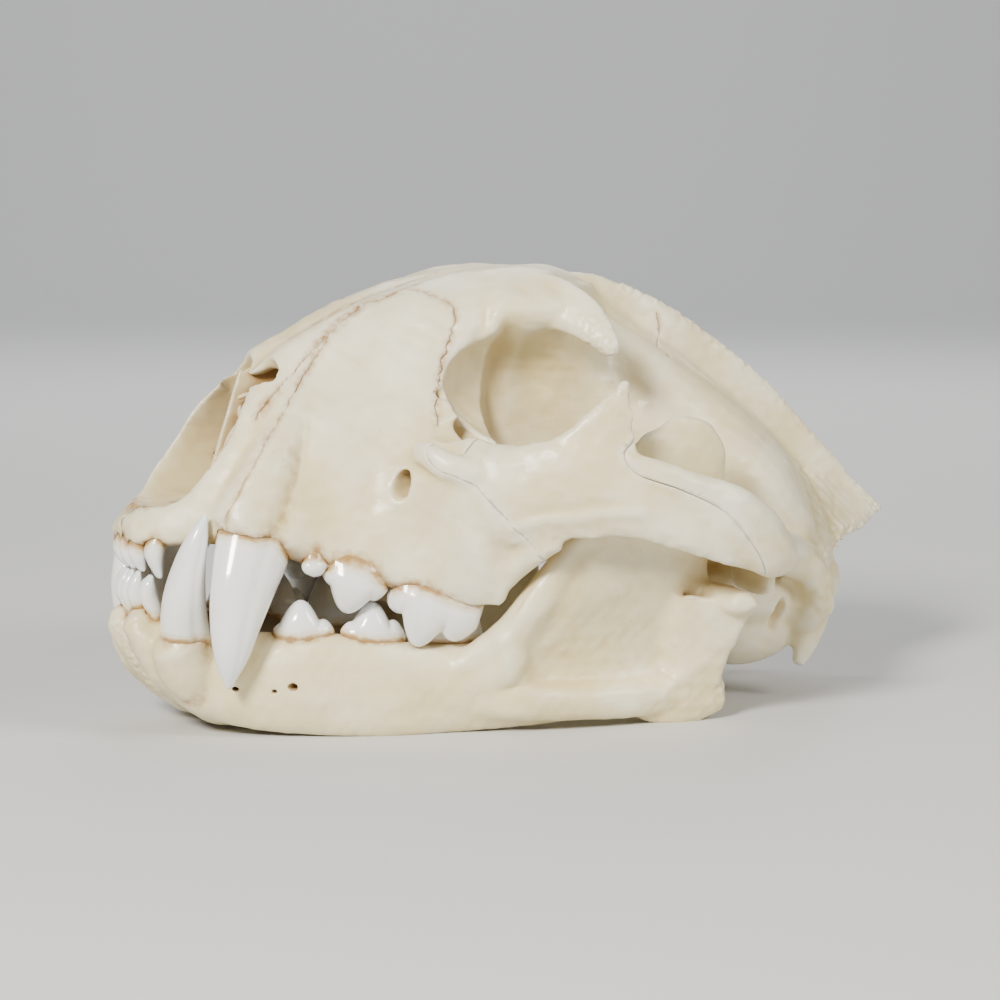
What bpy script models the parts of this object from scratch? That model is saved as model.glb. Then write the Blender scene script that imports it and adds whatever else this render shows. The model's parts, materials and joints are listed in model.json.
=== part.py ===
"""A cougar skull with its jaw closed, life size, standing on the lower edges of its lower jaw.

x runs from the front teeth (0) to the back of the skull, y from the skull's left (-) to its right, z up
from the table. Shapes are drawn in millimetres at the length DRAWN_LENGTH and scaled to SKULL_LENGTH when
they are made. Each bone is fused from lofts, limbs, fins and eggs by a voxel remesh, sculpted with a few
brush strokes, and thinned to a budget of triangles.
"""

import bmesh
import bpy
import numpy as np
from mathutils import Matrix, Vector

SKULL_LENGTH = 205.0      # front teeth to the back of the crest, in mm
DRAWN_LENGTH = 205.0      # the length at which the stations below are drawn
MM = 0.001 * SKULL_LENGTH / DRAWN_LENGTH

VOXEL = 0.8                 # grid of the fused bones, mm
RING_POINTS = 40            # points round a section of the face and braincase
SPAN_RINGS = 5              # rings made between two stations of a loft
LIMB_POINTS = 20            # points round a section of a limb
TOOTH_POINTS = 9            # points round a section of a tooth
CRANIUM_TRIANGLES = 4700    # with both jugals, before the teeth
JAW_TRIANGLES = 1020        # each half, before the teeth
SKULL_PASSES = 7            # smoothing passes that take the steps of the grid away
JAW_PASSES = 9
CUT_GAP = 0.3               # width of the seams between the parts, mm
CANINE_ROOM = 0.7           # room round the lower fangs in the upper jaw, mm
CREASE = 0.35               # how much of its thickness a plate keeps along its two long edges
CAP_LENGTH, CAP_SIZE = 0.5, 0.55  # rounded ends of limbs, as shares of the end's own size
SMALLEST = 0.3              # least half width of any section, mm
ORIGIN = (101.0, 0.0, 0.0)  # the point of the drawing that becomes the origin, mm
LEFT, RIGHT = -1, 1
SIDES = (LEFT, RIGHT)

BONE_NAME = "bone"
BONE_COLOUR = (0.86, 0.81, 0.71)
BONE_ROUGHNESS = 0.45


# Points and curves

def smooth_curve(points, per_span, closed=False):
    """A Catmull-Rom curve through the points, with per_span steps between each two."""
    pts = np.asarray(points, float)
    count = len(pts)
    spans = count if closed else count - 1
    if closed:
        pad = np.vstack([pts[-1], pts, pts[0], pts[1]])
    else:
        pad = np.vstack([2 * pts[0] - pts[1], pts, 2 * pts[-1] - pts[-2]])
    made = []
    for i in range(spans):
        p0, p1, p2, p3 = pad[i:i + 4]
        for t in np.arange(per_span) / per_span:
            made.append(0.5 * (2 * p1 + (p2 - p0) * t + (2 * p0 - 5 * p1 + 4 * p2 - p3) * t ** 2
                               + (3 * p1 - p0 - 3 * p2 + p3) * t ** 3))
    if not closed:
        made.append(pts[-1])
    return np.array(made)


def evenly(curve, count, closed=False):
    """The curve resampled to count points at even distances."""
    if closed:
        curve = np.vstack([curve, curve[:1]])
    along = np.concatenate([[0], np.cumsum(np.linalg.norm(np.diff(curve, axis=0), axis=1))])
    at = np.linspace(0, along[-1], count + 1)[:-1] if closed else np.linspace(0, along[-1], count)
    return np.stack([np.interp(at, along, curve[:, k]) for k in range(curve.shape[1])], axis=1)


# Closed shells

def shell(name, rings):
    """A closed mesh over equal rings of points, with a fan over each end."""
    rings = np.asarray(rings, float) * MM
    mesh = bmesh.new()
    rows = [[mesh.verts.new(p) for p in ring] for ring in rings]
    count = len(rows[0])
    for a, b in zip(rows, rows[1:]):
        for i in range(count):
            j = (i + 1) % count
            mesh.faces.new((a[i], a[j], b[j], b[i]))
    for row, ring in ((rows[0], rings[0]), (rows[-1], rings[-1])):
        tip = mesh.verts.new(ring.mean(axis=0))
        for i in range(count):
            mesh.faces.new((row[i], row[(i + 1) % count], tip))
    bmesh.ops.recalc_face_normals(mesh, faces=mesh.faces)
    if mesh.calc_volume(signed=True) < 0:
        bmesh.ops.reverse_faces(mesh, faces=mesh.faces)
    data = bpy.data.meshes.new(name)
    mesh.to_mesh(data)
    mesh.free()
    made = bpy.data.objects.new(name, data)
    bpy.context.collection.objects.link(made)
    return made


def body(name, stations):
    """A shell that both sides share: each station is x and half of its outline, from top middle to bottom
    middle."""
    rings = []
    for x, outline in stations:
        right = smooth_curve(outline, 8)
        left = right[-2:0:-1] * (-1, 1)
        ring = evenly(np.vstack([right, left]), RING_POINTS, closed=True)
        rings.append([(x, y, z) for y, z in ring])
    rings = np.array(rings)
    return shell(name, smooth_curve(rings.reshape(len(rings), -1), SPAN_RINGS).reshape(-1, RING_POINTS, 3))


def limb(name, path, sizes, up=(0, 0, 1), square=2.0, steps=SPAN_RINGS,
         around=LIMB_POINTS):
    """A tube of oval sections along a path. sizes holds each section's half width and its half height along
    up."""
    line = smooth_curve(path, steps)
    size = smooth_curve(sizes, steps)
    turn = np.linspace(0, 2 * np.pi, around, endpoint=False)
    wide = np.sign(np.cos(turn)) * np.abs(np.cos(turn)) ** (2 / square)
    high = np.sign(np.sin(turn)) * np.abs(np.sin(turn)) ** (2 / square)
    ahead = np.gradient(line, axis=0)
    for at, out in ((0, -1), (-1, 1)):
        cap = ahead[at] / np.linalg.norm(ahead[at]) * out * CAP_LENGTH * min(size[at])
        place = 0 if at == 0 else len(line)
        line = np.insert(line, place, line[at] + cap, axis=0)
        size = np.insert(size, place, size[at] * CAP_SIZE, axis=0)
        ahead = np.insert(ahead, place, ahead[at], axis=0)
    rings = []
    for p, d, (w, h) in zip(line, ahead, size):
        d = d / np.linalg.norm(d)
        side = np.cross(d, up)
        side /= np.linalg.norm(side)
        over = np.cross(side, d)
        rings.append(p + np.outer(wide * max(w, SMALLEST), side) + np.outer(high * max(h, SMALLEST), over))
    return shell(name, rings)


def fin(name, root, edge, root_half, edge_half, flat=(0, 1, 0)):
    """A plate between a root line and an edge line. Its thickness is measured along flat."""
    a, b = smooth_curve(root, SPAN_RINGS), smooth_curve(edge, SPAN_RINGS)
    share = np.linspace(0, 1, 7)
    flat = np.asarray(flat, float) / np.linalg.norm(flat)
    rings = []
    for p, q in zip(a, b):
        half = root_half + (edge_half - root_half) * share
        half[0] = half[-1] = CREASE * half[-1]
        mid = p + np.outer(share, q - p)
        rings.append(np.vstack([mid + np.outer(half, flat), (mid - np.outer(half, flat))[::-1]]))
    return shell(name, rings)


def egg(name, centre, radii, turn=(0, 0, 0)):
    bpy.ops.mesh.primitive_uv_sphere_add(segments=32, ring_count=20, radius=1)
    made = bpy.context.object
    made.name = name
    rotation = Matrix.Identity(4)
    for degrees, axis in zip(turn, "XYZ"):
        rotation = Matrix.Rotation(np.radians(degrees), 4, axis) @ rotation
    made.data.transform(Matrix.Diagonal((*[r * MM for r in radii], 1)))
    made.data.transform(rotation)
    made.data.transform(Matrix.Translation(Vector(centre) * MM))
    return made


def at_side(points, side):
    """Points drawn for the left (y negative), or mirrored for the right."""
    pts = np.array(points, float)
    pts[..., 1] *= -side
    return pts


# Joining and sculpting

def apply_modifiers(thing):
    graph = bpy.context.evaluated_depsgraph_get()
    data = bpy.data.meshes.new_from_object(thing.evaluated_get(graph))
    thing.modifiers.clear()
    thing.data = data


def joined(name, pieces):
    mesh = bmesh.new()
    for piece in pieces:
        mesh.from_mesh(piece.data)
        bpy.data.objects.remove(piece)
    data = bpy.data.meshes.new(name)
    mesh.to_mesh(data)
    mesh.free()
    made = bpy.data.objects.new(name, data)
    bpy.context.collection.objects.link(made)
    return made


def fused(name, pieces, passes, voxel=VOXEL):
    """One skin over overlapping shells, evened by so many smoothing passes."""
    made = joined(name, pieces)
    remesh = made.modifiers.new("one_skin", "REMESH")
    remesh.mode = "VOXEL"
    remesh.voxel_size = voxel * MM
    if passes:
        smooth = made.modifiers.new("even_out", "SMOOTH")
        smooth.factor = 0.5
        smooth.iterations = passes
    apply_modifiers(made)
    return made


def cut_by(thing, cutter, solver="MANIFOLD"):
    """Takes a closed cutter out of the thing."""
    cutter.display_type = "WIRE"
    cut = thing.modifiers.new("cut", "BOOLEAN")
    cut.operation = "DIFFERENCE"
    cut.solver = solver
    cut.object = cutter
    apply_modifiers(thing)
    bpy.data.objects.remove(cutter)


def co_of(thing):
    co = np.empty(len(thing.data.vertices) * 3)
    thing.data.vertices.foreach_get("co", co)
    return co.reshape(-1, 3) / MM


def put_co(thing, co):
    thing.data.vertices.foreach_set("co", (co * MM).ravel())
    thing.data.update()


def near(co, path, radius):
    """How strongly a brush drawn along the path reaches each point: 1 on it, falling to 0 at the radius."""
    best = np.full(len(co), np.inf)
    for a, b in zip(path, path[1:]):
        d = b - a
        t = np.clip(((co - a) @ d) / (d @ d), 0, 1)
        best = np.minimum(best, ((co - a - t[:, None] * d) ** 2).sum(axis=1))
    return np.exp(-best / radius ** 2)


def push(thing, path, radius, depth, facing=(0, -1, 0)):
    """Moves the skin near the path outwards, or inwards where depth is negative, where it faces this way.

    The path and the way are drawn for the left and are used on both sides.
    """
    co = co_of(thing)
    normals = np.empty(len(co) * 3)
    thing.data.vertices.foreach_get("normal", normals)
    normals = normals.reshape(-1, 3)
    weight = np.zeros(len(co))
    for side in SIDES:
        turned = np.clip(2 * normals @ at_side(facing, side), 0, 1)
        weight = np.maximum(weight, near(co, at_side(path, side), radius) * turned)
    put_co(thing, co + normals * (weight * depth)[:, None])


def open_edges(data):
    """How many edges of a mesh do not lie between exactly two faces."""
    mesh = bmesh.new()
    mesh.from_mesh(data)
    count = sum(not edge.is_manifold for edge in mesh.edges)
    mesh.free()
    return count


def thinned(thing, triangles):
    """The skin as triangles, with the fewest where it is flattest. The budget shrinks until the skin stays
    closed."""
    even = thing.modifiers.new("triangles", "TRIANGULATE")
    even.min_vertices = 4
    apply_modifiers(thing)
    whole = thing.data
    for budget in range(triangles, triangles - 100, -20):
        thing.data = whole
        fewer = thing.modifiers.new("thin", "DECIMATE")
        fewer.ratio = min(1.0, budget / len(whole.polygons))
        apply_modifiers(thing)
        if not open_edges(thing.data):
            break
    return thing


def bone_material():
    material = bpy.data.materials.new(BONE_NAME)
    material.use_nodes = True
    surface = material.node_tree.nodes["Principled BSDF"]
    surface.inputs["Base Color"].default_value = (*BONE_COLOUR, 1)
    surface.inputs["Roughness"].default_value = BONE_ROUGHNESS
    return material


# The cranium

FACE_AND_VAULT = (
    (-1, ((0, 49), (3, 48.7), (6.5, 47.5), (7.5, 45.5), (6.5, 44), (3, 43.6), (0, 43.6))),
    (3, ((0, 51.5), (6, 51.5), (10.5, 49), (11.5, 46), (10, 43.8), (5, 43), (0, 43.5))),
    (8, ((0, 54), (8, 55), (13.5, 52.5), (15, 47), (13.5, 43.8), (7, 43.5), (0, 45))),
    (12.5, ((0, 58), (11, 59.5), (15.8, 58), (18, 51), (18.5, 45.5), (12, 43.5), (0, 46))),
    (18, ((0, 63), (12, 66), (16.6, 64.5), (21, 56), (25, 48), (23, 43.5), (0, 46.5))),
    (23, ((0, 70), (11, 73.5), (16, 71.5), (20.5, 62), (25.5, 52), (27, 44.5), (20, 42.5), (0, 47))),
    (29, ((0, 79), (8, 81.5), (14.5, 77), (19.5, 68), (25.5, 56), (27.8, 44), (22, 41), (0, 47))),
    (35, ((0, 84.5), (6.5, 87), (12.5, 82.5), (17, 75), (22.5, 64), (27, 50), (28, 39), (20, 41.5),
          (0, 46.8))),
    (42, ((0, 89), (6.5, 90.5), (12.5, 86.5), (18, 77), (24, 66), (29.5, 52), (30.2, 36.4), (20, 41.5),
          (0, 46.3))),
    (50, ((0, 93.2), (7, 94.5), (14, 90), (20, 79), (26, 68), (32.5, 56), (34, 34.2), (24, 40), (0, 45.6))),
    (58, ((0, 96.7), (8, 97.5), (16, 92.5), (22, 82), (28.5, 70), (38, 60), (38, 48), (38.4, 32.2),
          (27.5, 38.5), (0, 45))),
    (64, ((0, 99), (9, 99.5), (18, 94), (24, 84), (29.5, 72), (44, 63), (46, 50), (41.2, 30.6), (29.5, 37),
          (0, 44))),
    (70, ((0, 101), (11, 101), (20, 95.5), (25, 87), (29, 76), (47, 64), (48, 50), (42.8, 29.6), (29.5, 36),
          (0, 43))),
    (76, ((0, 102.6), (13, 102), (22.5, 97), (25.5, 91), (26, 80), (38, 64), (44, 50), (42, 33), (27, 37),
          (0, 42))),
    (82, ((0, 103.8), (15, 103.2), (25, 97.5), (26, 92), (18, 83), (15, 70), (15, 55), (13, 43),
          (0, 41.5))),
    (90, ((0, 104.6), (17, 104), (27.5, 97.5), (27, 92), (17, 83), (14, 70), (13.5, 55), (12, 44),
          (0, 42))),
    (98, ((0, 105), (17, 103.8), (29, 96.5), (27, 91), (17, 82), (15, 70), (14, 55), (12, 43), (0, 42))),
    (106, ((0, 104.8), (12, 102.5), (20, 94), (19.5, 85), (18, 76), (16.5, 64), (15, 52), (12, 41),
           (0, 40))),
    (116, ((0, 101.5), (7, 98), (15, 89), (19, 78), (20.5, 66), (19.5, 52), (17, 40), (10, 37), (0, 36.5))),
    (130, ((0, 91), (9, 88), (20, 79), (27, 67), (28.5, 54), (26, 41), (18, 34), (8, 32.5), (0, 32.5))),
    (145, ((0, 81), (9, 78.5), (23, 70), (32, 57), (33, 45), (29, 34), (18, 28), (8, 27.5), (0, 28))),
    (158, ((0, 72), (8, 70), (23, 61), (32, 49), (32.5, 40), (28, 29), (17, 24), (8, 24.5), (0, 25))),
    (168, ((0, 63), (7, 61), (18, 53), (26, 43), (28, 36), (25, 27), (16, 22), (7, 22.5), (0, 23))),
    (176, ((0, 55), (6, 53), (14, 46), (19, 39), (20, 33), (18, 25), (12, 20.5), (6, 21.5), (0, 22))),
    (181, ((0, 47), (4, 46), (9, 41), (13, 36), (14, 31), (12, 25), (9, 22), (5, 22.5), (0, 23))),
)

NASAL_CAVITY = (
    (-6, ((0, 66), (7, 65), (11, 61), (11, 57), (7, 54), (0, 53))),
    (6, ((0, 72), (7, 70), (13, 65), (13.5, 57), (9, 52.3), (0, 51.5))),
    (16, ((0, 78), (7, 76), (13.5, 69), (15, 61), (11.5, 54), (0, 51.5))),
    (24, ((0, 80.5), (6, 80), (12.7, 73), (15.2, 64), (12, 55), (0, 52))),
    (33, ((0, 80.5), (5, 81.5), (10.5, 77), (14.5, 68), (13, 57), (0, 53))),
    (46, ((0, 84), (5, 85), (9, 80), (12, 70), (11, 58), (0, 54))),
    (58, ((0, 82), (4, 83), (7, 78), (9, 70), (8, 60), (0, 57))),
)


def cranium_side(side):
    """The pieces of the cranium that come twice."""
    def s(points):
        return at_side(points, side)
    return [
        limb("canine_root", s([(20, -22.3, 47.5), (23.5, -22, 54), (29, -19.5, 64), (37, -15, 75)]),
             [(6.6, 8), (6.2, 7.4), (5, 6), (2.5, 3)], up=(1, 0, 0)),
        limb("zygoma_front", s([(62, -33, 56), (68, -41, 55.5), (75, -48, 55.2)]),
             [(4, 9), (5.5, 11), (4.5, 11.5)]),
        limb("glenoid_root", s([(139, -22, 42.5), (137.5, -36, 42.5), (134.5, -48, 42.7), (132, -58, 44)]),
             [(14, 6), (11, 5), (8, 4.5), (7, 4.5)]),
        limb("shelf", s([(131, -58, 44.5), (138, -51, 42), (146, -42, 39.5), (155, -35, 36.5),
                         (165, -29, 33.5)]),
             [(4, 3.5), (5.5, 3.5), (5.5, 4), (4.5, 4), (3.5, 3.5)]),
        limb("postglenoid", s([(138, -40, 35), (137, -49, 33.5), (135.5, -58, 34)]), [(2.2, 5.5), (2, 5),
                                                                                      (1.6, 3.5)]),
        limb("squamosal_arch", s([(94, -62, 64.5), (99, -64, 61.5), (106, -66, 58), (114, -67, 53.5),
                                  (122, -67, 49),
                                  (130, -65, 43.2), (137, -60, 39.6)]),
             [(1.3, 1.5), (2.2, 3), (2.8, 4), (3, 6), (3.2, 7), (3.6, 7.4), (4.6, 5.4)]),
        limb("mastoid_ridge", s([(152, -36, 35), (159, -35, 32), (164, -33.5, 28), (164.5, -33, 22)]),
             [(3, 3.5), (3.5, 4.5), (3.5, 4.5), (3, 3.5)]),
        egg("mastoid", s([(162, -31.5, 24)])[0], (5, 5, 8)),
        limb("paroccipital", s([(166, -28, 22), (163, -30, 14), (160.5, -30.7, 8.5)]), [(4, 5), (3, 3.4),
                                                                                        (1.6, 1.8)],
             up=(1, 0, 0)),
        egg("bulla", s([(147, -22, 18.6)])[0], (16.5, 10, 10.6), (0, 5, 9 * side)),
        egg("bulla_foot", s([(147, -22.5, 25.5)])[0], (17, 13, 9), (0, 5, 9 * side)),
        limb("bulla_front", s([(126, -17, 31), (132, -18, 27.5), (138, -20, 24)]), [(3, 3.4), (3.6, 4.4),
                                                                                    (4.4, 5)]),
        egg("condyle", s([(176.5, -12, 25)])[0], (6, 6.5, 8), (0, 25, -20 * side)),
        fin("nuchal_crest", s([(178, -2, 50), (176, -9, 44), (170, -16, 40), (163, -23, 36),
                               (157, -28, 32)]),
            s([(204, -0.5, 41), (196.5, -6.5, 38), (184.5, -14, 36), (172.5, -22.5, 33.8),
               (166.5, -30, 30.5)]),
            3.5, 1.2, flat=(0.45, 0, 1)),
        fin("pterygoid", s([(78, -11.5, 48), (92, -10.5, 48), (112, -11.5, 44)]),
            s([(80, -12, 40), (93, -11, 33.5), (106, -11, 34.5)]), 1.6, 1.0),
        limb("jugal_bar", s([(70, -45.5, 55.5), (76, -50, 55.2), (84, -56, 57), (92, -60.5, 56.5),
                             (101, -64, 53),
                             (111, -66, 48.5), (120, -66.5, 43), (127, -65, 39)]),
             [(4.5, 10.5), (4.2, 11.5), (3.4, 11.5), (3, 11), (2.8, 8), (2.6, 6.5), (2.2, 4.5),
              (1.4, 2.4)]),
        fin("jugal_process", s([(76, -51, 58), (82.5, -55, 59), (89, -59, 59), (93.5, -61, 59),
                                (97.6, -62, 58)]),
            s([(77.5, -52.4, 66.2), (84, -56.4, 70.6), (89, -58.4, 75.2), (93, -59, 78),
               (97.2, -59.3, 79.6)]), 2.7, 1.5,
            flat=(-0.35, 1, 0)),
        limb("jugal_spike", s([(92, -59.5, 66), (94.4, -59.2, 74), (96.6, -59.3, 80.4)]),
             [(2.4, 4.4), (2.0, 2.8), (1.2, 1.3)],
             up=(1, 0, 0)),
        limb("postorbital", s([(88, -15, 98), (95, -23, 97.4), (99.5, -29.5, 94.8), (102.3, -34.5, 91),
                               (104.8, -39, 86)]),
             [(3, 6), (2.6, 6.4), (2.3, 5.6), (2.1, 4.2), (1.5, 2.2)], up=(0.52, 0, 0.86)),
        limb("temporal_line", s([(100, -24, 97.3), (105, -17, 98.3), (111, -9, 99), (118, -3, 98.6)]),
             [(1.6, 1.8), (1.5, 1.7), (1.3, 1.6), (1.0, 1.3)]),
        limb("orbit_knob", s([(57, -35, 64), (57.5, -38.8, 64.6), (60.5, -42.5, 62), (66, -46, 60)]),
             [(2.0, 2.6), (2.4, 3.0), (2.6, 3.2), (2.4, 3.2)]),
        limb("maxilla_corner", s([(71, -40, 33), (74, -43.5, 36.5), (77.5, -48.5, 41.5), (82, -54, 45.5)]),
             [(2.6, 3.2), (2.8, 3.4), (2.8, 3.4), (2.4, 3)]),
    ]


def nose_notches_and_orbits(side):
    """What is hollowed on each side: the notch of the nasal bone, the orbit's front and floor, the cheek's
    canal."""
    return [
        limb("infraorbital", at_side([(47, -37, 56.5), (53, -34.5, 57), (60, -31.5, 59), (70, -33, 62)],
                                     side),
             [(2.0, 3.4), (1.7, 3.2), (1.7, 3.0), (2.2, 3.0)]),
        limb("nasal_notch", at_side([(25.4, -4.4, 87.2), (29.6, -6.6, 82.2), (33.6, -8.6, 77.4)], side),
             [(4.7, 4.3), (4.7, 4.3), (4.7, 4.3)], up=(0.75, 0, 0.62)),
        egg("orbit_front", (82.5, 32 * side, 78.4), (16, 15, 11.6), (0, 6, 0)),
        limb("orbit_floor_trough", at_side([(57.5, -33.2, 73.5), (63, -34.5, 70.4), (71, -38, 69.6),
                                            (80, -44, 71)], side),
             [(1.6, 2.4), (3.0, 3.6), (4.6, 4.2), (6, 4)]),
        limb("floor_notch", at_side([(76, -36, 69), (71.5, -31.5, 69), (67, -26.5, 68.5)], side),
             [(3.0, 5.4), (2.8, 5.0), (2.2, 3.8)], square=4),
    ]


def make_cranium():
    skull = body("face_and_vault", FACE_AND_VAULT)
    for side in SIDES:
        cut_by(skull, egg("orbit", (87, 38.5 * side, 78.2), (22, 22, 14.8), (0, 6, 6 * side)))
    pieces = [skull]
    for side in SIDES:
        pieces += cranium_side(side)
    pieces.append(fin("sagittal_crest",
                      [(112, 0, 96), (122, 0, 90), (135, 0, 82), (150, 0, 72), (165, 0, 60), (178, 0, 48),
                       (186, 0, 38)],
                      [(112, 0, 103.5), (122, 0, 102.2), (135, 0, 97.5), (150, 0, 89.3), (165, 0, 78.6),
                       (178, 0, 67),
                       (204, 0, 41)], 3.4, 1.0))
    skull = fused("cranium", pieces, 0)
    cutters = [
        body("nasal_cavity", NASAL_CAVITY),
        limb("choanae", [(80, 0, 38), (92, 0, 39), (106, 0, 36), (116, 0, 30)], [(8, 7), (8, 8), (8, 6),
                                                                                 (6, 3)],
             square=3),
        limb("foramen_magnum", [(192, 0, 26), (180, 0, 28), (166, 0, 33), (158, 0, 37)], [(8, 7), (8, 7),
                                                                                          (9, 8), (7, 6)]),
    ]
    for side in SIDES:
        cutters += nose_notches_and_orbits(side)
        cutters.append(egg("ear", at_side([(152.5, -38, 20)], side)[0], (2.2, 8, 6.5), (0, 12, 0)))
        cutters.append(lower_canine(side, CANINE_ROOM))
    cut_by(skull, fused("hollows", cutters, 2))
    return fused("cranium", [skull], SKULL_PASSES)


# The mandible

def jaw_side(side):
    def s(points):
        return at_side(points, side)
    return [
        limb("body", s([(4, -5, 23.5), (9, -9, 18.5), (16, -13, 14), (25, -19, 12.7), (36, -25, 12),
                        (50, -30, 10.7),
                        (64, -33.5, 10.2), (78, -37.5, 10.8), (92, -40.5, 11.2), (106, -42.5, 10.5),
                        (118, -44, 9)]),
             [(4, 5), (6.5, 7.5), (6.5, 10.3), (5.6, 11.4), (5.4, 11.7), (5.4, 11.2), (5.4, 10.4),
              (5, 10.2), (4.4, 9.8),
              (3.8, 9.2), (3.4, 8)]),
        limb("symphysis", s([(2.6, -4, 27), (3.6, -5, 21.5), (10, -6, 13.5), (19, -7, 6.5), (26, -8, 5)]),
             [(5, 3.6), (6, 4.6), (7, 5.2), (7, 5), (6, 3)]),
        limb("canine_root", s([(7.5, -14.5, 22), (11, -13.5, 15), (18, -13.5, 9)]), [(6, 7), (5.5, 7),
                                                                                     (4, 5)],
             up=(1, 0, 0)),
        limb("ramus", s([(99, -41, 7), (100.5, -43, 16), (104.5, -46, 28), (108, -48, 41), (113.5, -49.5,
                                                                                            55),
                         (117.8, -50, 64), (119.5, -50, 70.5)]),
             [(3.0, 24), (3.2, 27), (3.2, 25.0), (2.8, 18.4), (2.5, 14.4), (2.1, 11.4), (1.4, 5.4)],
             up=(1, 0, 0), square=2.1),
        limb("condyle", s([(125.5, -40, 29), (126, -50, 29), (127, -60.5, 29)]), [(3.4, 3.0), (4.4, 3.6),
                                                                                  (3.6, 2.6)]),
        limb("neck", s([(125.4, -50, 28), (124.6, -48.6, 22), (122.5, -47, 14), (120, -46, 7)]),
             [(5.2, 4.2), (3.6, 5.4), (2.8, 6.4), (2.6, 6)], up=(1, 0, 0)),
        fin("condyle_flare", s([(117, -46, 7), (113, -46.5, 15), (112, -47, 23), (114, -48, 31)]),
            s([(128, -48, 9), (128.6, -51.5, 16), (129.6, -56.5, 23), (130.4, -61.6, 29)]), 3.0, 2.0,
            flat=(-0.45, 1, 0.1)),
        limb("front_border", s([(62, -34.5, 13), (70, -38.5, 17), (77, -42.3, 24), (83, -45.3, 33.5),
                                (90, -47.6, 43),
                                (98, -49, 52)]),
             [(2.6, 4), (3.4, 4.2), (3.4, 3.8), (3.0, 3.2), (2.5, 2.6), (1.9, 2.2)]),
        limb("front_fill", s([(67, -36, 10), (72, -39, 13), (77.5, -42, 19), (82, -43.5, 25)]),
             [(3.6, 4.6), (4.0, 5.4), (3.8, 5.2), (3.2, 4)]),
        limb("lower_border", s([(70, -38.5, 8), (80, -42, 7.2), (94, -44.4, 6.6), (108, -45.4, 6.4),
                                (120, -46.2, 7)]),
             [(2.8, 4.2), (3.4, 4.6), (3.4, 4.6), (3.2, 4.6), (2.8, 4.6)]),
        limb("angle", s([(110, -43.5, 6), (120, -45, 5.6), (129, -46.5, 6.6)]), [(3, 5.4), (3.8, 6.9),
                                                                                 (2.6, 4.6)]),
    ]


def make_jaw():
    jaw = fused("mandible", jaw_side(LEFT) + jaw_side(RIGHT), JAW_PASSES)
    push(jaw, [(90, -46, 19), (102, -47, 22), (114, -48, 21)], 9.5, -2.4)
    push(jaw, [(98, -49, 38), (110, -52, 46)], 9, -1.0)
    push(jaw, [(91, -48, 44), (86, -47, 36), (80, -46, 28), (76, -45.5, 20), (77.5, -45, 12)], 3.2, 0.8)
    return jaw


# Teeth

BLADE_RINGS = 13
COLLAR = 1.25               # height of a cheek tooth at its ends, mm
BLADE_SECTION = ((-0.96, 0.0), (-1.04, 0.22), (-0.80, 0.62), (0.0, 1.0))
TOOTH_STEPS = 2
FANG_POINTS = 14
UPPER_INCISORS = ((0.8, -1.75, 1.65, 38.0), (1.6, -5.2, 1.8, 37.6), (4.0, -9.4, 2.4,
                                                                     36.4))  # x, y, half, tip
LOWER_INCISORS = ((0.6, -1.45, 1.4, 37.0), (1.1, -4.3, 1.5, 37.0), (2.8, -7.6, 1.85, 36.4))


def blade(name, front, back, half, cusps, sign, root=4.5):
    """A cheek tooth: a ridge of cusps (place from -1 to 1, height, reach) along its gum line from front to
    back."""
    front, back = np.array(front, float), np.array(back, float)
    along = back - front
    length = np.linalg.norm(along)
    along /= length
    across = np.cross(along, (0, 0, 1))
    across /= np.linalg.norm(across)
    tip = np.cross(across, along) * sign
    rings = []
    for place in np.linspace(-1, 1, BLADE_RINGS):
        width = half * np.sqrt(max(0.0, 1 - place ** 2 * 0.93)) ** 0.7
        high = COLLAR + max(height * np.cos(min(1.0, abs(place - at) / reach) * np.pi / 2)
                            for at, height, reach in cusps)
        section = [(share * width, level * high) for share, level in BLADE_SECTION]
        section = [(-0.7 * width, -root)] + section + [(-y, z) for y, z in section[-2::-1]] + [(0.7 * width,
                                                                                                -root)]
        middle = (front + back) / 2 + along * place * length / 2
        rings.append([middle + across * y + tip * z for y, z in section])
    return shell(name, rings)


def peg(name, path, sizes, around=TOOTH_POINTS):
    return limb(name, path, sizes, up=(1, 0, 0), steps=TOOTH_STEPS, around=around)


def upper_teeth(side):
    def s(points):
        return at_side(points, side)
    made = [
        peg("upper_canine", s([(26, -21, 56), (22.6, -22.5, 45), (18.9, -25, 36), (16.3, -26.5, 27.5),
                               (15.1, -26.8, 19.5), (14.6, -26.3, 13)]),
            [(5.2, 7.4), (5.8, 8.7), (5.2, 7.6), (4.2, 6.0), (2.9, 3.9), (0.6, 0.7)], FANG_POINTS),
        peg("upper_P2", s([(35.5, -26.5, 44), (35.3, -27.2, 40), (35.3, -28, 37.4)]),
            [(1.4, 1.8), (1.9, 3.0), (1.0, 1.7)]),
        blade("upper_P3", *s([(37.5, -27, 38), (51, -32, 34)]), 3.7,
              ((-0.66, 2.0, 0.5), (-0.04, 6.9, 0.78), (0.66, 2.9, 0.42)), -1),
        blade("upper_P4", *s([(51.8, -33, 33.7), (70.6, -39.5, 27.5)]), 4.1,
              ((-0.74, 3.9, 0.40), (-0.16, 9.9, 0.62), (0.56, 6.6, 0.62)), -1),
        peg("upper_M1", s([(73.5, -32, 36), (73.5, -32.5, 32), (73.5, -32.5, 29.5)]), [(3, 2), (3.2, 2.2),
                                                                                       (1.5, 1)]),
    ]
    for k, (x, y, half, low) in enumerate(UPPER_INCISORS):
        made.append(peg("upper_I%d" % (k + 1),
                        s([(x + 3.2, 0.9 * y, 51), (x + 1.0, y, 46), (x - 0.3, y, 42), (x + 0.7, y, low)]),
                        [(0.7 * half, 1.7), (0.85 * half, 2.0), (half, 2.1), (0.66 * half, 0.7)]))
    return made


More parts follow.
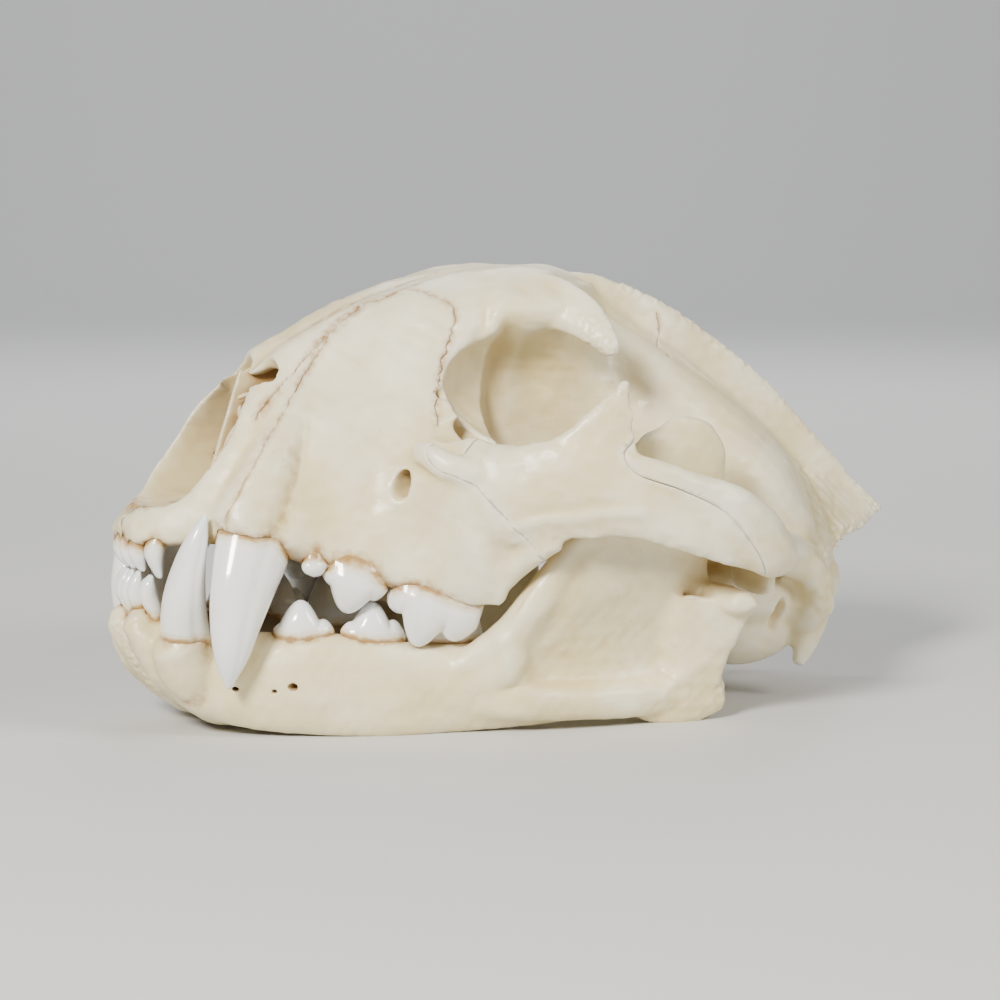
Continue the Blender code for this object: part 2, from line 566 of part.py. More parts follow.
def lower_canine(side, room=0.0):
    """The lower fang. With room it is swollen all round, to cut the hollow that it stands in."""
    path = at_side([(14, -13, 10), (9.2, -15, 22), (7.6, -17.3, 31), (8.3, -19.3, 40), (10, -20.5, 46.5),
                    (11.5, -21, 51)], side)
    sizes = np.array([(4, 5), (4.5, 5.6), (4.3, 5.1), (3.3, 3.7), (2.2, 2.3), (0.5, 0.6)]) + room
    return peg("lower_canine", path, sizes, FANG_POINTS)


def lower_teeth(side):
    def s(points):
        return at_side(points, side)
    made = [
        lower_canine(side),
        blade("lower_p3", *s([(27.3, -21.5, 23.6), (40.6, -25.8, 22.8)]), 3.1,
              ((-0.72, 1.7, 0.42), (-0.16, 6.6, 0.74), (0.62, 2.6, 0.42)), 1),
        blade("lower_p4", *s([(41.6, -26.5, 22.6), (56, -30, 21.6)]), 3.3,
              ((-0.72, 2.6, 0.42), (-0.08, 7.0, 0.70), (0.62, 3.2, 0.42)), 1),
        blade("lower_m1", *s([(56.8, -28.3, 21.3), (74, -32.8, 19.5)]), 3.0, ((-0.5, 7.5, 0.7),
                                                                              (0.5, 9.0, 0.75)), 1),
    ]
    for k, (x, y, half, top) in enumerate(LOWER_INCISORS):
        made.append(peg("lower_I%d" % (k + 1),
                        s([(x + 2.6, 0.8 * y, 23), (x + 1.2, y, 28.5), (x - 0.1, y, 33),
                           (x + 0.5, y, top)]),
                        [(0.7 * half, 1.5), (0.85 * half, 1.8), (half, 1.9), (0.66 * half, 0.6)]))
    return made


def with_teeth(bone, teeth):
    """The bone with all its teeth fused in by one union."""
    home = bpy.data.collections.new("teeth")
    home.hide_render = True
    bpy.context.scene.collection.children.link(home)
    for tooth in teeth:
        tooth.display_type = "WIRE"
        for old in list(tooth.users_collection):
            old.objects.unlink(tooth)
        home.objects.link(tooth)
    join = bone.modifiers.new("teeth", "BOOLEAN")
    join.operation = "UNION"
    join.solver = "EXACT"
    join.operand_type = "COLLECTION"
    join.collection = home
    apply_modifiers(bone)
    for tooth in list(home.objects):
        bpy.data.objects.remove(tooth)
    bpy.data.collections.remove(home)


# Cuts and the parts they leave

CHEEK_SEAM = ((50, -37, 74), (54, -40, 68.5), (57, -42, 63), (61, -46, 59), (66, -49, 54.5), (73, -52, 48),
              (78, -53, 41.5), (82, -54, 36))
CHEEK_WAYS = ((6, 3, 10), (6, 3, 10), (6, 4, 10), (6, 5, 10), (7, 6, 10), (10, 7, 10), (16, 8, 6),
              (16, 8, 4))
TEMPLE_SEAM = ((99.5, -64, 71), (97, -64, 67.5), (94.4, -64, 64.5), (97, -66, 60.4), (106, -68, 56.9),
               (116, -68.5, 51.9), (123.3, -67, 44.6), (128.4, -65, 37.5), (130, -64, 33))


def sheet(name, line, into, reach, back=6.0):
    """A plate CUT_GAP thick along a line. It runs from back outside the line to reach inside it, along
    into."""
    pts = smooth_curve(line, 8)
    ahead = np.gradient(pts, axis=0)
    ways = smooth_curve(into, 8) if np.ndim(into) == 2 else np.tile(np.asarray(into, float), (len(pts), 1))
    rings = []
    for p, d, way in zip(pts, ahead, ways):
        way = way / np.linalg.norm(way)
        half = np.cross(d, way)
        half *= CUT_GAP / 2 / np.linalg.norm(half)
        rings.append([p - way * back + half, p + way * reach + half, p + way * reach - half,
                      p - way * back - half])
    return shell(name, rings)


def block(name, low, high):
    low, high = np.array(low, float), np.array(high, float)
    bpy.ops.mesh.primitive_cube_add(size=1)
    made = bpy.context.object
    made.name = name
    made.data.transform(Matrix.Diagonal((*((high - low) * MM), 1)))
    made.data.transform(Matrix.Translation(Vector((low + high) / 2 * MM)))
    return made


def islands(thing):
    """The separate closed pieces of a mesh as objects, the largest first."""
    bpy.ops.object.select_all(action="DESELECT")
    thing.select_set(True)
    bpy.context.view_layer.objects.active = thing
    bpy.ops.mesh.separate(type="LOOSE")
    return sorted(bpy.context.selected_objects, key=lambda o: -len(o.data.polygons))


def keep_named(thing, names):
    """The largest piece of a cut bone whose middle lies at each named side. The crumbs are removed."""
    kept = []
    pieces = islands(thing)
    for name, low, high in names:
        found = next(o for o in pieces if low < co_of(o)[:, 1].mean() < high)
        found.name = name
        found.data.name = name
        kept.append(found)
        pieces.remove(found)
    for crumb in pieces:
        bpy.data.objects.remove(crumb)
    return kept


def main():
    for old in list(bpy.data.objects):
        bpy.data.objects.remove(old)
    skull = make_cranium()
    jaw = make_jaw()
    thinned(skull, CRANIUM_TRIANGLES)
    thinned(jaw, 2 * JAW_TRIANGLES)
    with_teeth(skull, upper_teeth(LEFT) + upper_teeth(RIGHT))
    with_teeth(jaw, lower_teeth(LEFT) + lower_teeth(RIGHT))
    for side in SIDES:
        cut_by(skull, sheet("cheek_seam", at_side(CHEEK_SEAM, side), at_side(CHEEK_WAYS, side), 21))
        cut_by(skull, sheet("temple_seam", at_side(TEMPLE_SEAM, side), at_side((0, 1, 0), side), 10))
    cut_by(jaw, block("chin_seam", (-10, -CUT_GAP / 2, -10), (60, CUT_GAP / 2, 60)), "EXACT")
    cut_by(jaw, block("table", (-20, -80, -10), (160, 80, 0)), "EXACT")
    parts = keep_named(skull, (("cranium", -12, 12), ("jugal_left", -80, -40), ("jugal_right", 40, 80)))
    parts += keep_named(jaw, (("mandible_left", -80, 0), ("mandible_right", 0, 80)))
    home = bpy.data.collections.new("cougar_skull")
    bpy.context.scene.collection.children.link(home)
    bone = bone_material()
    for part in parts:
        part.data.transform(Matrix.Translation(Vector(ORIGIN) * -MM))
        part.data.materials.clear()
        part.data.materials.append(bone)
        part.data.shade_smooth()
        for old in list(part.users_collection):
            old.objects.unlink(part)
        home.objects.link(part)


main()
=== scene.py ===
# %% [markdown]
# # A cougar skull
#
# The skull of a grown cougar with its lower jaw closed. On the real one two halves of the jaw meet at the
# chin, the upper skull is a case of thin bones that have grown together along wavy seams, and two cheek
# bones bridge the gap to the sides. The teeth are separate and stand in sockets. Here each of these is a
# piece of its own.
#
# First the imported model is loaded. It is the frame that everything has to fit.

import json

import bmesh
import bpy
import numpy as np
from mathutils import Matrix, Vector
from mathutils.bvhtree import BVHTree

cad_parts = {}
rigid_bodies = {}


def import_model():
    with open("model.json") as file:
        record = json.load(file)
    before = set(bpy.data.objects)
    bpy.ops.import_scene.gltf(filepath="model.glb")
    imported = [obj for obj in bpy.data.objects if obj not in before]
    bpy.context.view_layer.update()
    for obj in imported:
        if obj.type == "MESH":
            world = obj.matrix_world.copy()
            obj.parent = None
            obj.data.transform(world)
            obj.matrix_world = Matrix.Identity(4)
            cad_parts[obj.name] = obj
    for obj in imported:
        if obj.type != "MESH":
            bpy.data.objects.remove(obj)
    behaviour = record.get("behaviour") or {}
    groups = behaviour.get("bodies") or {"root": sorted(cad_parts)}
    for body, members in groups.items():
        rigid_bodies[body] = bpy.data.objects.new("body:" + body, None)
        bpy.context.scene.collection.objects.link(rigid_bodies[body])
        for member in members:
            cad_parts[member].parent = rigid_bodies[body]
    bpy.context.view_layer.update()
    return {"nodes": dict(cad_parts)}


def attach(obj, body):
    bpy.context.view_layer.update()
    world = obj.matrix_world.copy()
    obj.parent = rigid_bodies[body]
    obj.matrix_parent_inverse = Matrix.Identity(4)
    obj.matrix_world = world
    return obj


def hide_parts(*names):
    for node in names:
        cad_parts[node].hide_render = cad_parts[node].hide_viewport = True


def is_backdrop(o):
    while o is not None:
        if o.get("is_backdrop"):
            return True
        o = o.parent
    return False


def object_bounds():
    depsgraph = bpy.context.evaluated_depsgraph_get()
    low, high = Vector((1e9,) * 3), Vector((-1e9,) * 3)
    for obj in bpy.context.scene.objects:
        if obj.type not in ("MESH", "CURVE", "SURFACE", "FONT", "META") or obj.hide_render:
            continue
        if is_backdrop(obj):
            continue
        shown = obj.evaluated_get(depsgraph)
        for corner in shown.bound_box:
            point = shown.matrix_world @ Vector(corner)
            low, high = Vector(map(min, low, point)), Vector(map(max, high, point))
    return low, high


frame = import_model()

# %% [markdown]
# ## Drawing in millimetres
#
# A skull is easiest to draw as an anatomist measures it: x runs back from the front teeth, y runs to the
# skull's right, z runs up from the table, all in millimetres. Every shell is drawn so, and is moved into
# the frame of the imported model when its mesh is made. Whatever comes twice is drawn for the left and
# mirrored.

# %% Curves through a few drawn points
MM = 0.001
ORIGIN = np.array((101.0, 0.0, 0.0))
LEFT, RIGHT = -1, 1
SIDES = (LEFT, RIGHT)
OUTER_SIDE = (0, -1, 0)    # skin of the left that looks outwards
SPAN_STEPS = 8            # rings between two drawn sections
CAP_LENGTH, CAP_SIZE = 0.5, 0.55    # the rounded end of a limb, as shares of its last section
THINNEST = 0.3            # the least half width of a limb, in mm


def smooth_curve(points, per_span, closed=False):
    """A Catmull-Rom curve through the points, with per_span steps between each two."""
    pts = np.asarray(points, float)
    spans = len(pts) if closed else len(pts) - 1
    if closed:
        pad = np.vstack([pts[-1], pts, pts[0], pts[1]])
    else:
        pad = np.vstack([2 * pts[0] - pts[1], pts, 2 * pts[-1] - pts[-2]])
    made = []
    for i in range(spans):
        p0, p1, p2, p3 = pad[i:i + 4]
        for t in np.arange(per_span) / per_span:
            made.append(0.5 * (2 * p1 + (p2 - p0) * t + (2 * p0 - 5 * p1 + 4 * p2 - p3) * t ** 2
                               + (3 * p1 - p0 - 3 * p2 + p3) * t ** 3))
    if not closed:
        made.append(pts[-1])
    return np.array(made)


def evenly(curve, count, closed=False):
    """The curve resampled to count points at even distances."""
    if closed:
        curve = np.vstack([curve, curve[:1]])
    along = np.concatenate([[0], np.cumsum(np.linalg.norm(np.diff(curve, axis=0), axis=1))])
    at = np.linspace(0, along[-1], count + 1)[:-1] if closed else np.linspace(0, along[-1], count)
    return np.stack([np.interp(at, along, curve[:, k]) for k in range(curve.shape[1])], axis=1)


def at_side(points, side):
    """Points drawn for the left (y negative), or mirrored for the right."""
    pts = np.array(points, float)
    pts[..., 1] *= -side
    return pts


def unit(v):
    return v / np.maximum(1e-9, np.linalg.norm(v, axis=-1, keepdims=True))


def field(points, size, seed):
    """Smooth random hills and dips about size mm across, mostly from -1 to 1, as a sum of plane waves."""
    rng = np.random.default_rng(seed)
    total = np.zeros(len(points))
    for _ in range(10):
        way = unit(rng.normal(size=3)) * 2 * np.pi / (size * rng.uniform(0.7, 1.4))
        total += np.sin(points @ way + rng.uniform(0, 2 * np.pi))
    return total / 3


# %% Closed shells over rings of points
def shell(name, rings):
    """A closed mesh over equal rings of points, with a fan over each end."""
    rings = (np.asarray(rings, float) - ORIGIN) * MM
    mesh = bmesh.new()
    rows = [[mesh.verts.new(p) for p in ring] for ring in rings]
    count = len(rows[0])
    for a, b in zip(rows, rows[1:]):
        for i in range(count):
            j = (i + 1) % count
            mesh.faces.new((a[i], a[j], b[j], b[i]))
    for row, ring in ((rows[0], rings[0]), (rows[-1], rings[-1])):
        tip = mesh.verts.new(ring.mean(axis=0))
        for i in range(count):
            mesh.faces.new((row[i], row[(i + 1) % count], tip))
    bmesh.ops.recalc_face_normals(mesh, faces=mesh.faces)
    if mesh.calc_volume(signed=True) < 0:
        bmesh.ops.reverse_faces(mesh, faces=mesh.faces)
    data = bpy.data.meshes.new(name)
    mesh.to_mesh(data)
    mesh.free()
    made = bpy.data.objects.new(name, data)
    bpy.context.scene.collection.objects.link(made)
    return made


def body(name, stations, around=64):
    """A shell that both sides share: each station is x and half of its outline, from top middle to bottom
    middle."""
    rings = []
    for x, outline in stations:
        right = smooth_curve(outline, 10)
        left = right[-2:0:-1] * (-1, 1)
        rings.append([(x, y, z) for y, z in evenly(np.vstack([right, left]), around, closed=True)])
    rings = np.array(rings)
    return shell(name, smooth_curve(rings.reshape(len(rings), -1), SPAN_STEPS).reshape(-1, around, 3))


def limb(name, path, sizes, up=(0, 0, 1), square=2.0, around=32, groove=()):
    """A tube of oval sections along a path. sizes holds their half widths, and their half heights along up.

    groove lists furrows that run along it: the place round the tube in turns, the depth, the width in turns.
    """
    line = smooth_curve(path, SPAN_STEPS)
    size = smooth_curve(sizes, SPAN_STEPS)
    turn = np.linspace(0, 2 * np.pi, around, endpoint=False)
    wide = np.sign(np.cos(turn)) * np.abs(np.cos(turn)) ** (2 / square)
    high = np.sign(np.sin(turn)) * np.abs(np.sin(turn)) ** (2 / square)
    for where, depth, width in groove:
        away = np.abs((turn / (2 * np.pi) - where + 0.5) % 1 - 0.5)
        dip = 1 - depth * np.exp(-(away / width) ** 2)
        wide, high = wide * dip, high * dip
    ahead = np.gradient(line, axis=0)
    for at, out in ((0, -1), (-1, 1)):
        cap = unit(ahead[at]) * out * CAP_LENGTH * min(size[at])
        line = np.insert(line, 0 if at == 0 else len(line), line[at] + cap, axis=0)
        size = np.insert(size, 0 if at == 0 else len(size), size[at] * CAP_SIZE, axis=0)
        ahead = np.insert(ahead, 0 if at == 0 else len(ahead), ahead[at], axis=0)
    rings = []
    for p, d, (w, h) in zip(line, unit(ahead), size):
        side = unit(np.cross(d, up))
        across = np.outer(wide * max(w, THINNEST), side)
        rings.append(p + across + np.outer(high * max(h, THINNEST), np.cross(side, d)))
    return shell(name, rings)


def fin(name, root, edge, root_half, edge_half, flat=(0, 1, 0), ragged=0.0, seed=1):
    """A plate between a root line and an edge line. Its thickness is measured along flat."""
    a, b = smooth_curve(root, 12), smooth_curve(edge, 12)
    b = b + unit(b - a) * (field(b, 5, seed) * ragged)[:, None]
    share = np.linspace(0, 1, 9)
    rings = []
    for p, q in zip(a, b):
        half = root_half + (edge_half - root_half) * share
        half[0] = half[-1] = 0.35 * half[-1]
        mid = p + np.outer(share, q - p)
        thick = np.outer(half, unit(np.asarray(flat, float)))
        rings.append(np.vstack([mid + thick, (mid - thick)[::-1]]))
    return shell(name, rings)


def egg(name, centre, radii, turn=(0, 0, 0)):
    bpy.ops.mesh.primitive_uv_sphere_add(segments=48, ring_count=32, radius=1)
    made = bpy.context.object
    made.name = name
    rotation = Matrix.Identity(4)
    for degrees, axis in zip(turn, "XYZ"):
        rotation = Matrix.Rotation(np.radians(degrees), 4, axis) @ rotation
    made.data.transform(Matrix.Diagonal((*[r * MM for r in radii], 1)))
    made.data.transform(rotation)
    made.data.transform(Matrix.Translation(Vector((np.asarray(centre, float) - ORIGIN) * MM)))
    return made


# %% [markdown]
# ## Joining, carving and sculpting
#
# Bone grows as one skin, so the shells of a bone are joined and covered by a voxel remesh, which melts them
# into each other. Hollows are carved with a Boolean. Brush strokes along drawn paths then raise the ridges
# that muscles pull on and sink the hollows between them.

# %% Tools for one skin
def apply_modifiers(thing):
    graph = bpy.context.evaluated_depsgraph_get()
    data = bpy.data.meshes.new_from_object(thing.evaluated_get(graph))
    thing.modifiers.clear()
    thing.data = data


def joined(name, pieces):
    mesh = bmesh.new()
    for piece in pieces:
        mesh.from_mesh(piece.data)
        bpy.data.objects.remove(piece)
    data = bpy.data.meshes.new(name)
    mesh.to_mesh(data)
    mesh.free()
    made = bpy.data.objects.new(name, data)
    bpy.context.scene.collection.objects.link(made)
    return made


def fused(name, pieces, even_passes, voxel=0.8):
    """One skin over overlapping shells."""
    made = joined(name, pieces)
    remesh = made.modifiers.new("one_skin", "REMESH")
    remesh.mode = "VOXEL"
    remesh.voxel_size = voxel * MM
    if even_passes:
        smooth = made.modifiers.new("soften", "SMOOTH")
        smooth.factor = 0.5
        smooth.iterations = even_passes
    apply_modifiers(made)
    return made


def cut_with(thing, cutters):
    """Takes closed cutters out of a thing, one after the other."""
    for cutter in cutters:
        cut = thing.modifiers.new("carve", "BOOLEAN")
        cut.operation = "DIFFERENCE"
        cut.solver = "MANIFOLD"
        cut.object = cutter
    apply_modifiers(thing)
    for cutter in cutters:
        bpy.data.objects.remove(cutter)


def co_of(thing):
    co = np.empty(len(thing.data.vertices) * 3)
    thing.data.vertices.foreach_get("co", co)
    return co.reshape(-1, 3) / MM + ORIGIN


def normals_of(thing):
    normals = np.empty(len(thing.data.vertices) * 3)
    thing.data.vertices.foreach_get("normal", normals)
    return normals.reshape(-1, 3)


def put_co(thing, co):
    thing.data.vertices.foreach_set("co", ((co - ORIGIN) * MM).ravel())
    thing.data.update()


def near(co, path, radius):
    """How strongly a brush drawn along the path reaches each point: 1 on it, falling to 0 at the radius."""
    path = np.atleast_2d(np.asarray(path, float))
    best = np.full(len(co), np.inf)
    close = ((co > path.min(axis=0) - 3 * radius) & (co < path.max(axis=0) + 3 * radius)).all(axis=1)
    pts = co[close]
    if len(path) == 1:
        best[close] = ((pts - path[0]) ** 2).sum(axis=1)
    for a, b in zip(path, path[1:]):
        d = b - a
        t = np.clip(((pts - a) @ d) / (d @ d), 0, 1)
        best[close] = np.minimum(best[close], ((pts - a - t[:, None] * d) ** 2).sum(axis=1))
    return np.exp(-best / radius ** 2)


def push(thing, path, radius, depth, facing=None, rough=0.0, rough_size=1.6):
    """Moves the skin near the path outwards, or inwards where depth is negative, on both sides.

    facing limits the stroke to skin that looks that way (drawn for the left). rough adds small bumps instead.
    """
    co, normals = co_of(thing), normals_of(thing)
    weight = np.zeros(len(co))
    for side in SIDES:
        one = near(co, at_side(np.atleast_2d(path), side), radius)
        if facing is not None:
            one = one * np.clip(2 * (normals @ unit(at_side(facing, side))), 0, 1)
        weight = np.maximum(weight, one)
    amount = weight * depth
    if rough:
        amount = amount + weight * rough * field(co, rough_size, 7)
    put_co(thing, co + normals * amount[:, None])


def thinned(thing, triangles):
    even = thing.modifiers.new("triangles", "TRIANGULATE")
    even.min_vertices = 4
    fewer = thing.modifiers.new("thin", "DECIMATE")
    faces = sum(len(p.vertices) - 2 for p in thing.data.polygons)
    fewer.ratio = min(1.0, triangles / faces)
    apply_modifiers(thing)
    print(thing.name, "thinned from", faces, "to", len(thing.data.polygons), "triangles")


def islands(thing):
    """The separate closed pieces of a mesh as objects, the largest first."""
    bpy.ops.object.select_all(action="DESELECT")
    thing.select_set(True)
    bpy.context.view_layer.objects.active = thing
    bpy.ops.mesh.separate(type="LOOSE")
    return sorted(bpy.context.selected_objects, key=lambda o: -len(o.data.polygons))


# %% [markdown]
# ## The case of the skull
#
# Face, vault and braincase are one long shell, drawn as the cross sections that a band saw would leave. The
# eyes' hollows are scooped from it before the arches are added, because an arch stands free of the hollow
# behind it.

# %% Sections of the face and braincase
FACE_AND_VAULT = (
    (-1, ((0, 49), (3, 48.7), (6.5, 47.5), (7.5, 45.5), (6.5, 44), (3, 43.6), (0, 43.6))),
    (3, ((0, 51.5), (6, 51.5), (10.5, 49), (11.5, 46), (10, 43.8), (5, 43), (0, 43.5))),
    (8, ((0, 54), (8, 55), (13.5, 52.5), (15, 47), (13.5, 43.8), (7, 43.5), (0, 45))),
    (12.5, ((0, 58), (11, 59.5), (15.8, 58), (18, 51), (18.5, 45.5), (12, 43.5), (0, 46))),
    (18, ((0, 63), (12, 66), (16.6, 64.5), (21, 56), (25, 48), (23, 43.5), (0, 46.5))),
    (23, ((0, 70), (11, 73.5), (16, 71.5), (20.5, 62), (25.5, 52), (27, 44.5), (20, 42.5), (0, 47))),
    (29, ((0, 79), (8, 81.5), (14.5, 77), (19.5, 68), (25.5, 56), (27.8, 44), (22, 41), (0, 47))),
    (35, ((0, 84.5), (6.5, 87), (12.5, 82.5), (17, 75), (22.5, 64), (27, 50), (28, 39), (20, 41.5),
          (0, 46.8))),
    (42, ((0, 89), (6.5, 90.5), (12.5, 86.5), (18, 77), (24, 66), (29.5, 52), (30.2, 36.4), (20, 41.5),
          (0, 46.3))),
    (50, ((0, 93.2), (7, 94.5), (14, 90), (20, 79), (26, 68), (32.5, 56), (34, 34.2), (24, 40), (0, 45.6))),
    (58, ((0, 96.7), (8, 97.5), (16, 92.5), (22, 82), (28.5, 70), (38, 60), (38, 48), (38.4, 32.2),
          (27.5, 38.5), (0, 45))),
    (64, ((0, 99), (9, 99.5), (18, 94), (24, 84), (29.5, 72), (44, 63), (46, 50), (41.2, 30.6), (29.5, 37),
          (0, 44))),
    (70, ((0, 101), (11, 101), (20, 95.5), (25, 87), (29, 76), (47, 64), (48, 50), (42.8, 29.6), (29.5, 36),
          (0, 43))),
    (76, ((0, 102.6), (13, 102), (22.5, 97), (25.5, 91), (26, 80), (38, 64), (44, 50), (42, 33), (27, 37),
          (0, 42))),
    (82, ((0, 103.8), (15, 103.2), (25, 97.5), (26, 92), (18, 83), (15, 70), (15, 55), (13, 43),
          (0, 41.5))),
    (90, ((0, 104.6), (17, 104), (27.5, 97.5), (27, 92), (17, 83), (14, 70), (13.5, 55), (12, 44),
          (0, 42))),
    (98, ((0, 105), (17, 103.8), (29, 96.5), (27, 91), (17, 82), (15, 70), (14, 55), (12, 43), (0, 42))),
    (106, ((0, 104.8), (12, 102.5), (20, 94), (19.5, 85), (18, 76), (16.5, 64), (15, 52), (12, 41),
           (0, 40))),
    (116, ((0, 101.5), (7, 98), (15, 89), (19, 78), (20.5, 66), (19.5, 52), (17, 40), (10, 37), (0, 36.5))),
    (130, ((0, 91), (9, 88), (20, 79), (27, 67), (28.5, 54), (26, 41), (18, 34), (8, 32.5), (0, 32.5))),
    (145, ((0, 81), (9, 78.5), (23, 70), (32, 57), (33, 45), (29, 34), (18, 28), (8, 27.5), (0, 28))),
    (158, ((0, 72), (8, 70), (23, 61), (32, 49), (32.5, 40), (28, 29), (17, 24), (8, 24.5), (0, 25))),
    (168, ((0, 63), (7, 61), (18, 53), (26, 43), (28, 36), (25, 27), (16, 22), (7, 22.5), (0, 23))),
    (176, ((0, 55), (6, 53), (14, 46), (19, 39), (20, 33), (18, 25), (12, 20.5), (6, 21.5), (0, 22))),
    (181, ((0, 47), (4, 46), (9, 41), (13, 36), (14, 31), (12, 25), (9, 22), (5, 22.5), (0, 23))),
)
skull = body("face_and_vault", FACE_AND_VAULT)
cut_with(skull, [egg("orbit", (87, 38.5 * side, 78.2), (22, 22, 14.8), (0, 6, 6 * side)) for side in SIDES])
print("face and vault:", len(skull.data.vertices), "points")

# %% [markdown]
# The arches, the crest and the knobs for joints and muscles are added as limbs, fins and eggs, each named
# for what it is. The nose, the ear openings and the big hole for the spinal cord are carved out of the
# joined case.

# %% Arches, crest and knobs
def cranium_side(side):
    """The pieces of the cranium that come twice."""
    def s(points):
        return at_side(points, side)
    return [
        limb("canine_root", s([(20, -22.3, 47.5), (23.5, -22, 54), (29, -19.5, 64), (37, -15, 75)]),
             [(6.6, 8), (6.2, 7.4), (5, 6), (2.5, 3)], up=(1, 0, 0)),
        limb("zygoma_front", s([(62, -33, 56), (68, -41, 55.5), (75, -48, 55.2)]),
             [(4, 9), (5.5, 11), (4.5, 11.5)]),
        limb("glenoid_root", s([(139, -22, 42.5), (137.5, -36, 42.5), (134.5, -48, 42.7), (132, -58, 44)]),
             [(14, 6), (11, 5), (8, 4.5), (7, 4.5)]),
        limb("shelf", s([(131, -58, 44.5), (138, -51, 42), (146, -42, 39.5), (155, -35, 36.5),
                         (165, -29, 33.5)]), [(4, 3.5), (5.5, 3.5), (5.5, 4), (4.5, 4), (3.5, 3.5)]),
        limb("postglenoid", s([(138, -40, 35), (137, -49, 33.5), (135.5, -58, 34)]),
             [(2.2, 5.5), (2, 5), (1.6, 3.5)]),
        limb("squamosal_arch", s([(94, -62, 64.5), (99, -64, 61.5), (106, -66, 58), (114, -67, 53.5),
                                  (122, -67, 49), (130, -65, 43.2), (137, -60, 39.6)]),
             [(1.3, 1.5), (2.2, 3), (2.8, 4), (3, 6), (3.2, 7), (3.6, 7.4), (4.6, 5.4)]),
        limb("mastoid_ridge", s([(152, -36, 35), (159, -35, 32), (164, -33.5, 28), (164.5, -33, 22)]),
             [(3, 3.5), (3.5, 4.5), (3.5, 4.5), (3, 3.5)]),
        egg("mastoid", s([(162, -31.5, 24)])[0], (5, 5, 8)),
        limb("paroccipital", s([(166, -28, 22), (163, -30, 14), (160.5, -30.7, 8.5)]),
             [(4, 5), (3, 3.4), (1.6, 1.8)], up=(1, 0, 0)),
        egg("bulla", s([(147, -22, 18.6)])[0], (16.5, 10, 10.6), (0, 5, 9 * side)),
        egg("bulla_foot", s([(147, -22.5, 25.5)])[0], (17, 13, 9), (0, 5, 9 * side)),
        limb("bulla_front", s([(126, -17, 31), (132, -18, 27.5), (138, -20, 24)]),
             [(3, 3.4), (3.6, 4.4), (4.4, 5)]),
        egg("condyle", s([(176.5, -12, 25)])[0], (6, 6.5, 8), (0, 25, -20 * side)),
        fin("nuchal_crest", s([(178, -2, 50), (176, -9, 44), (170, -16, 40), (163, -23, 36),
                               (157, -28, 32)]),
            s([(204, -0.5, 41), (196.5, -6.5, 38), (184.5, -14, 36), (172.5, -22.5, 33.8),
               (166.5, -30, 30.5)]), 3.5, 1.2, flat=(0.45, 0, 1), ragged=0.5, seed=3),
        fin("pterygoid", s([(78, -11.5, 48), (92, -10.5, 48), (112, -11.5, 44)]),
            s([(80, -12, 40), (93, -11, 33.5), (106, -11, 34.5)]), 1.6, 1.0, ragged=0.4, seed=5),
        limb("jugal_bar", s([(70, -45.5, 55.5), (76, -50, 55.2), (84, -56, 57), (92, -60.5, 56.5),
                             (101, -64, 53), (111, -66, 48.5), (120, -66.5, 43), (127, -65, 39)]),
             [(4.5, 10.5), (4.2, 11.5), (3.4, 11.5), (3, 11), (2.8, 8), (2.6, 6.5), (2.2, 4.5),
              (1.4, 2.4)]),
        fin("jugal_process", s([(76, -51, 58), (82.5, -55, 59), (89, -59, 59), (93.5, -61, 59),
                                (97.6, -62, 58)]),
            s([(77.5, -52.4, 66.2), (84, -56.4, 70.6), (89, -58.4, 75.2), (93, -59, 78),
               (97.2, -59.3, 79.6)]), 2.7, 1.5, flat=(-0.35, 1, 0)),
        limb("jugal_spike", s([(92, -59.5, 66), (94.4, -59.2, 74), (96.6, -59.3, 80.4)]),
             [(2.4, 4.4), (2.0, 2.8), (1.2, 1.3)], up=(1, 0, 0)),
        limb("postorbital", s([(88, -15, 98), (95, -23, 97.4), (99.5, -29.5, 94.8), (102.3, -34.5, 91),
                               (104.8, -39, 86)]),
             [(3, 6), (2.6, 6.4), (2.3, 5.6), (2.1, 4.2), (1.5, 2.2)], up=(0.52, 0, 0.86)),
        limb("temporal_line", s([(100, -24, 97.3), (105, -17, 98.3), (111, -9, 99), (118, -3, 98.6)]),
             [(1.6, 1.8), (1.5, 1.7), (1.3, 1.6), (1.0, 1.3)]),
        limb("orbit_knob", s([(57, -35, 64), (57.5, -38.8, 64.6), (60.5, -42.5, 62), (66, -46, 60)]),
             [(2.0, 2.6), (2.4, 3.0), (2.6, 3.2), (2.4, 3.2)]),
        limb("maxilla_corner", s([(71, -40, 33), (74, -43.5, 36.5), (77.5, -48.5, 41.5), (82, -54, 45.5)]),
             [(2.6, 3.2), (2.8, 3.4), (2.8, 3.4), (2.4, 3)]),
    ]


def lower_canine_path(side):
    return at_side([(14, -13, 10), (9.2, -15, 22), (7.6, -17.3, 31), (8.3, -19.3, 40), (10, -20.5, 46.5),
                    (11.5, -21, 51)], side)


LOWER_CANINE_SIZES = np.array([(4, 5), (4.5, 5.6), (4.3, 5.1), (3.3, 3.7), (2.2, 2.3), (0.5, 0.6)])
NASAL_CAVITY = (
    (-6, ((0, 66), (7, 65), (11, 61), (11, 57), (7, 54), (0, 53))),
    (6, ((0, 72), (7, 70), (13, 65), (13.5, 57), (9, 52.3), (0, 51.5))),
    (16, ((0, 78), (7, 76), (13.5, 69), (15, 61), (11.5, 54), (0, 51.5))),
    (24, ((0, 80.5), (6, 80), (12.7, 73), (15.2, 64), (12, 55), (0, 52))),
    (33, ((0, 80.5), (5, 81.5), (10.5, 77), (14.5, 68), (13, 57), (0, 53))),
    (46, ((0, 84), (5, 85), (9, 80), (12, 70), (11, 58), (0, 54))),
    (58, ((0, 82), (4, 83), (7, 78), (9, 70), (8, 60), (0, 57))),
)
pieces = [skull]
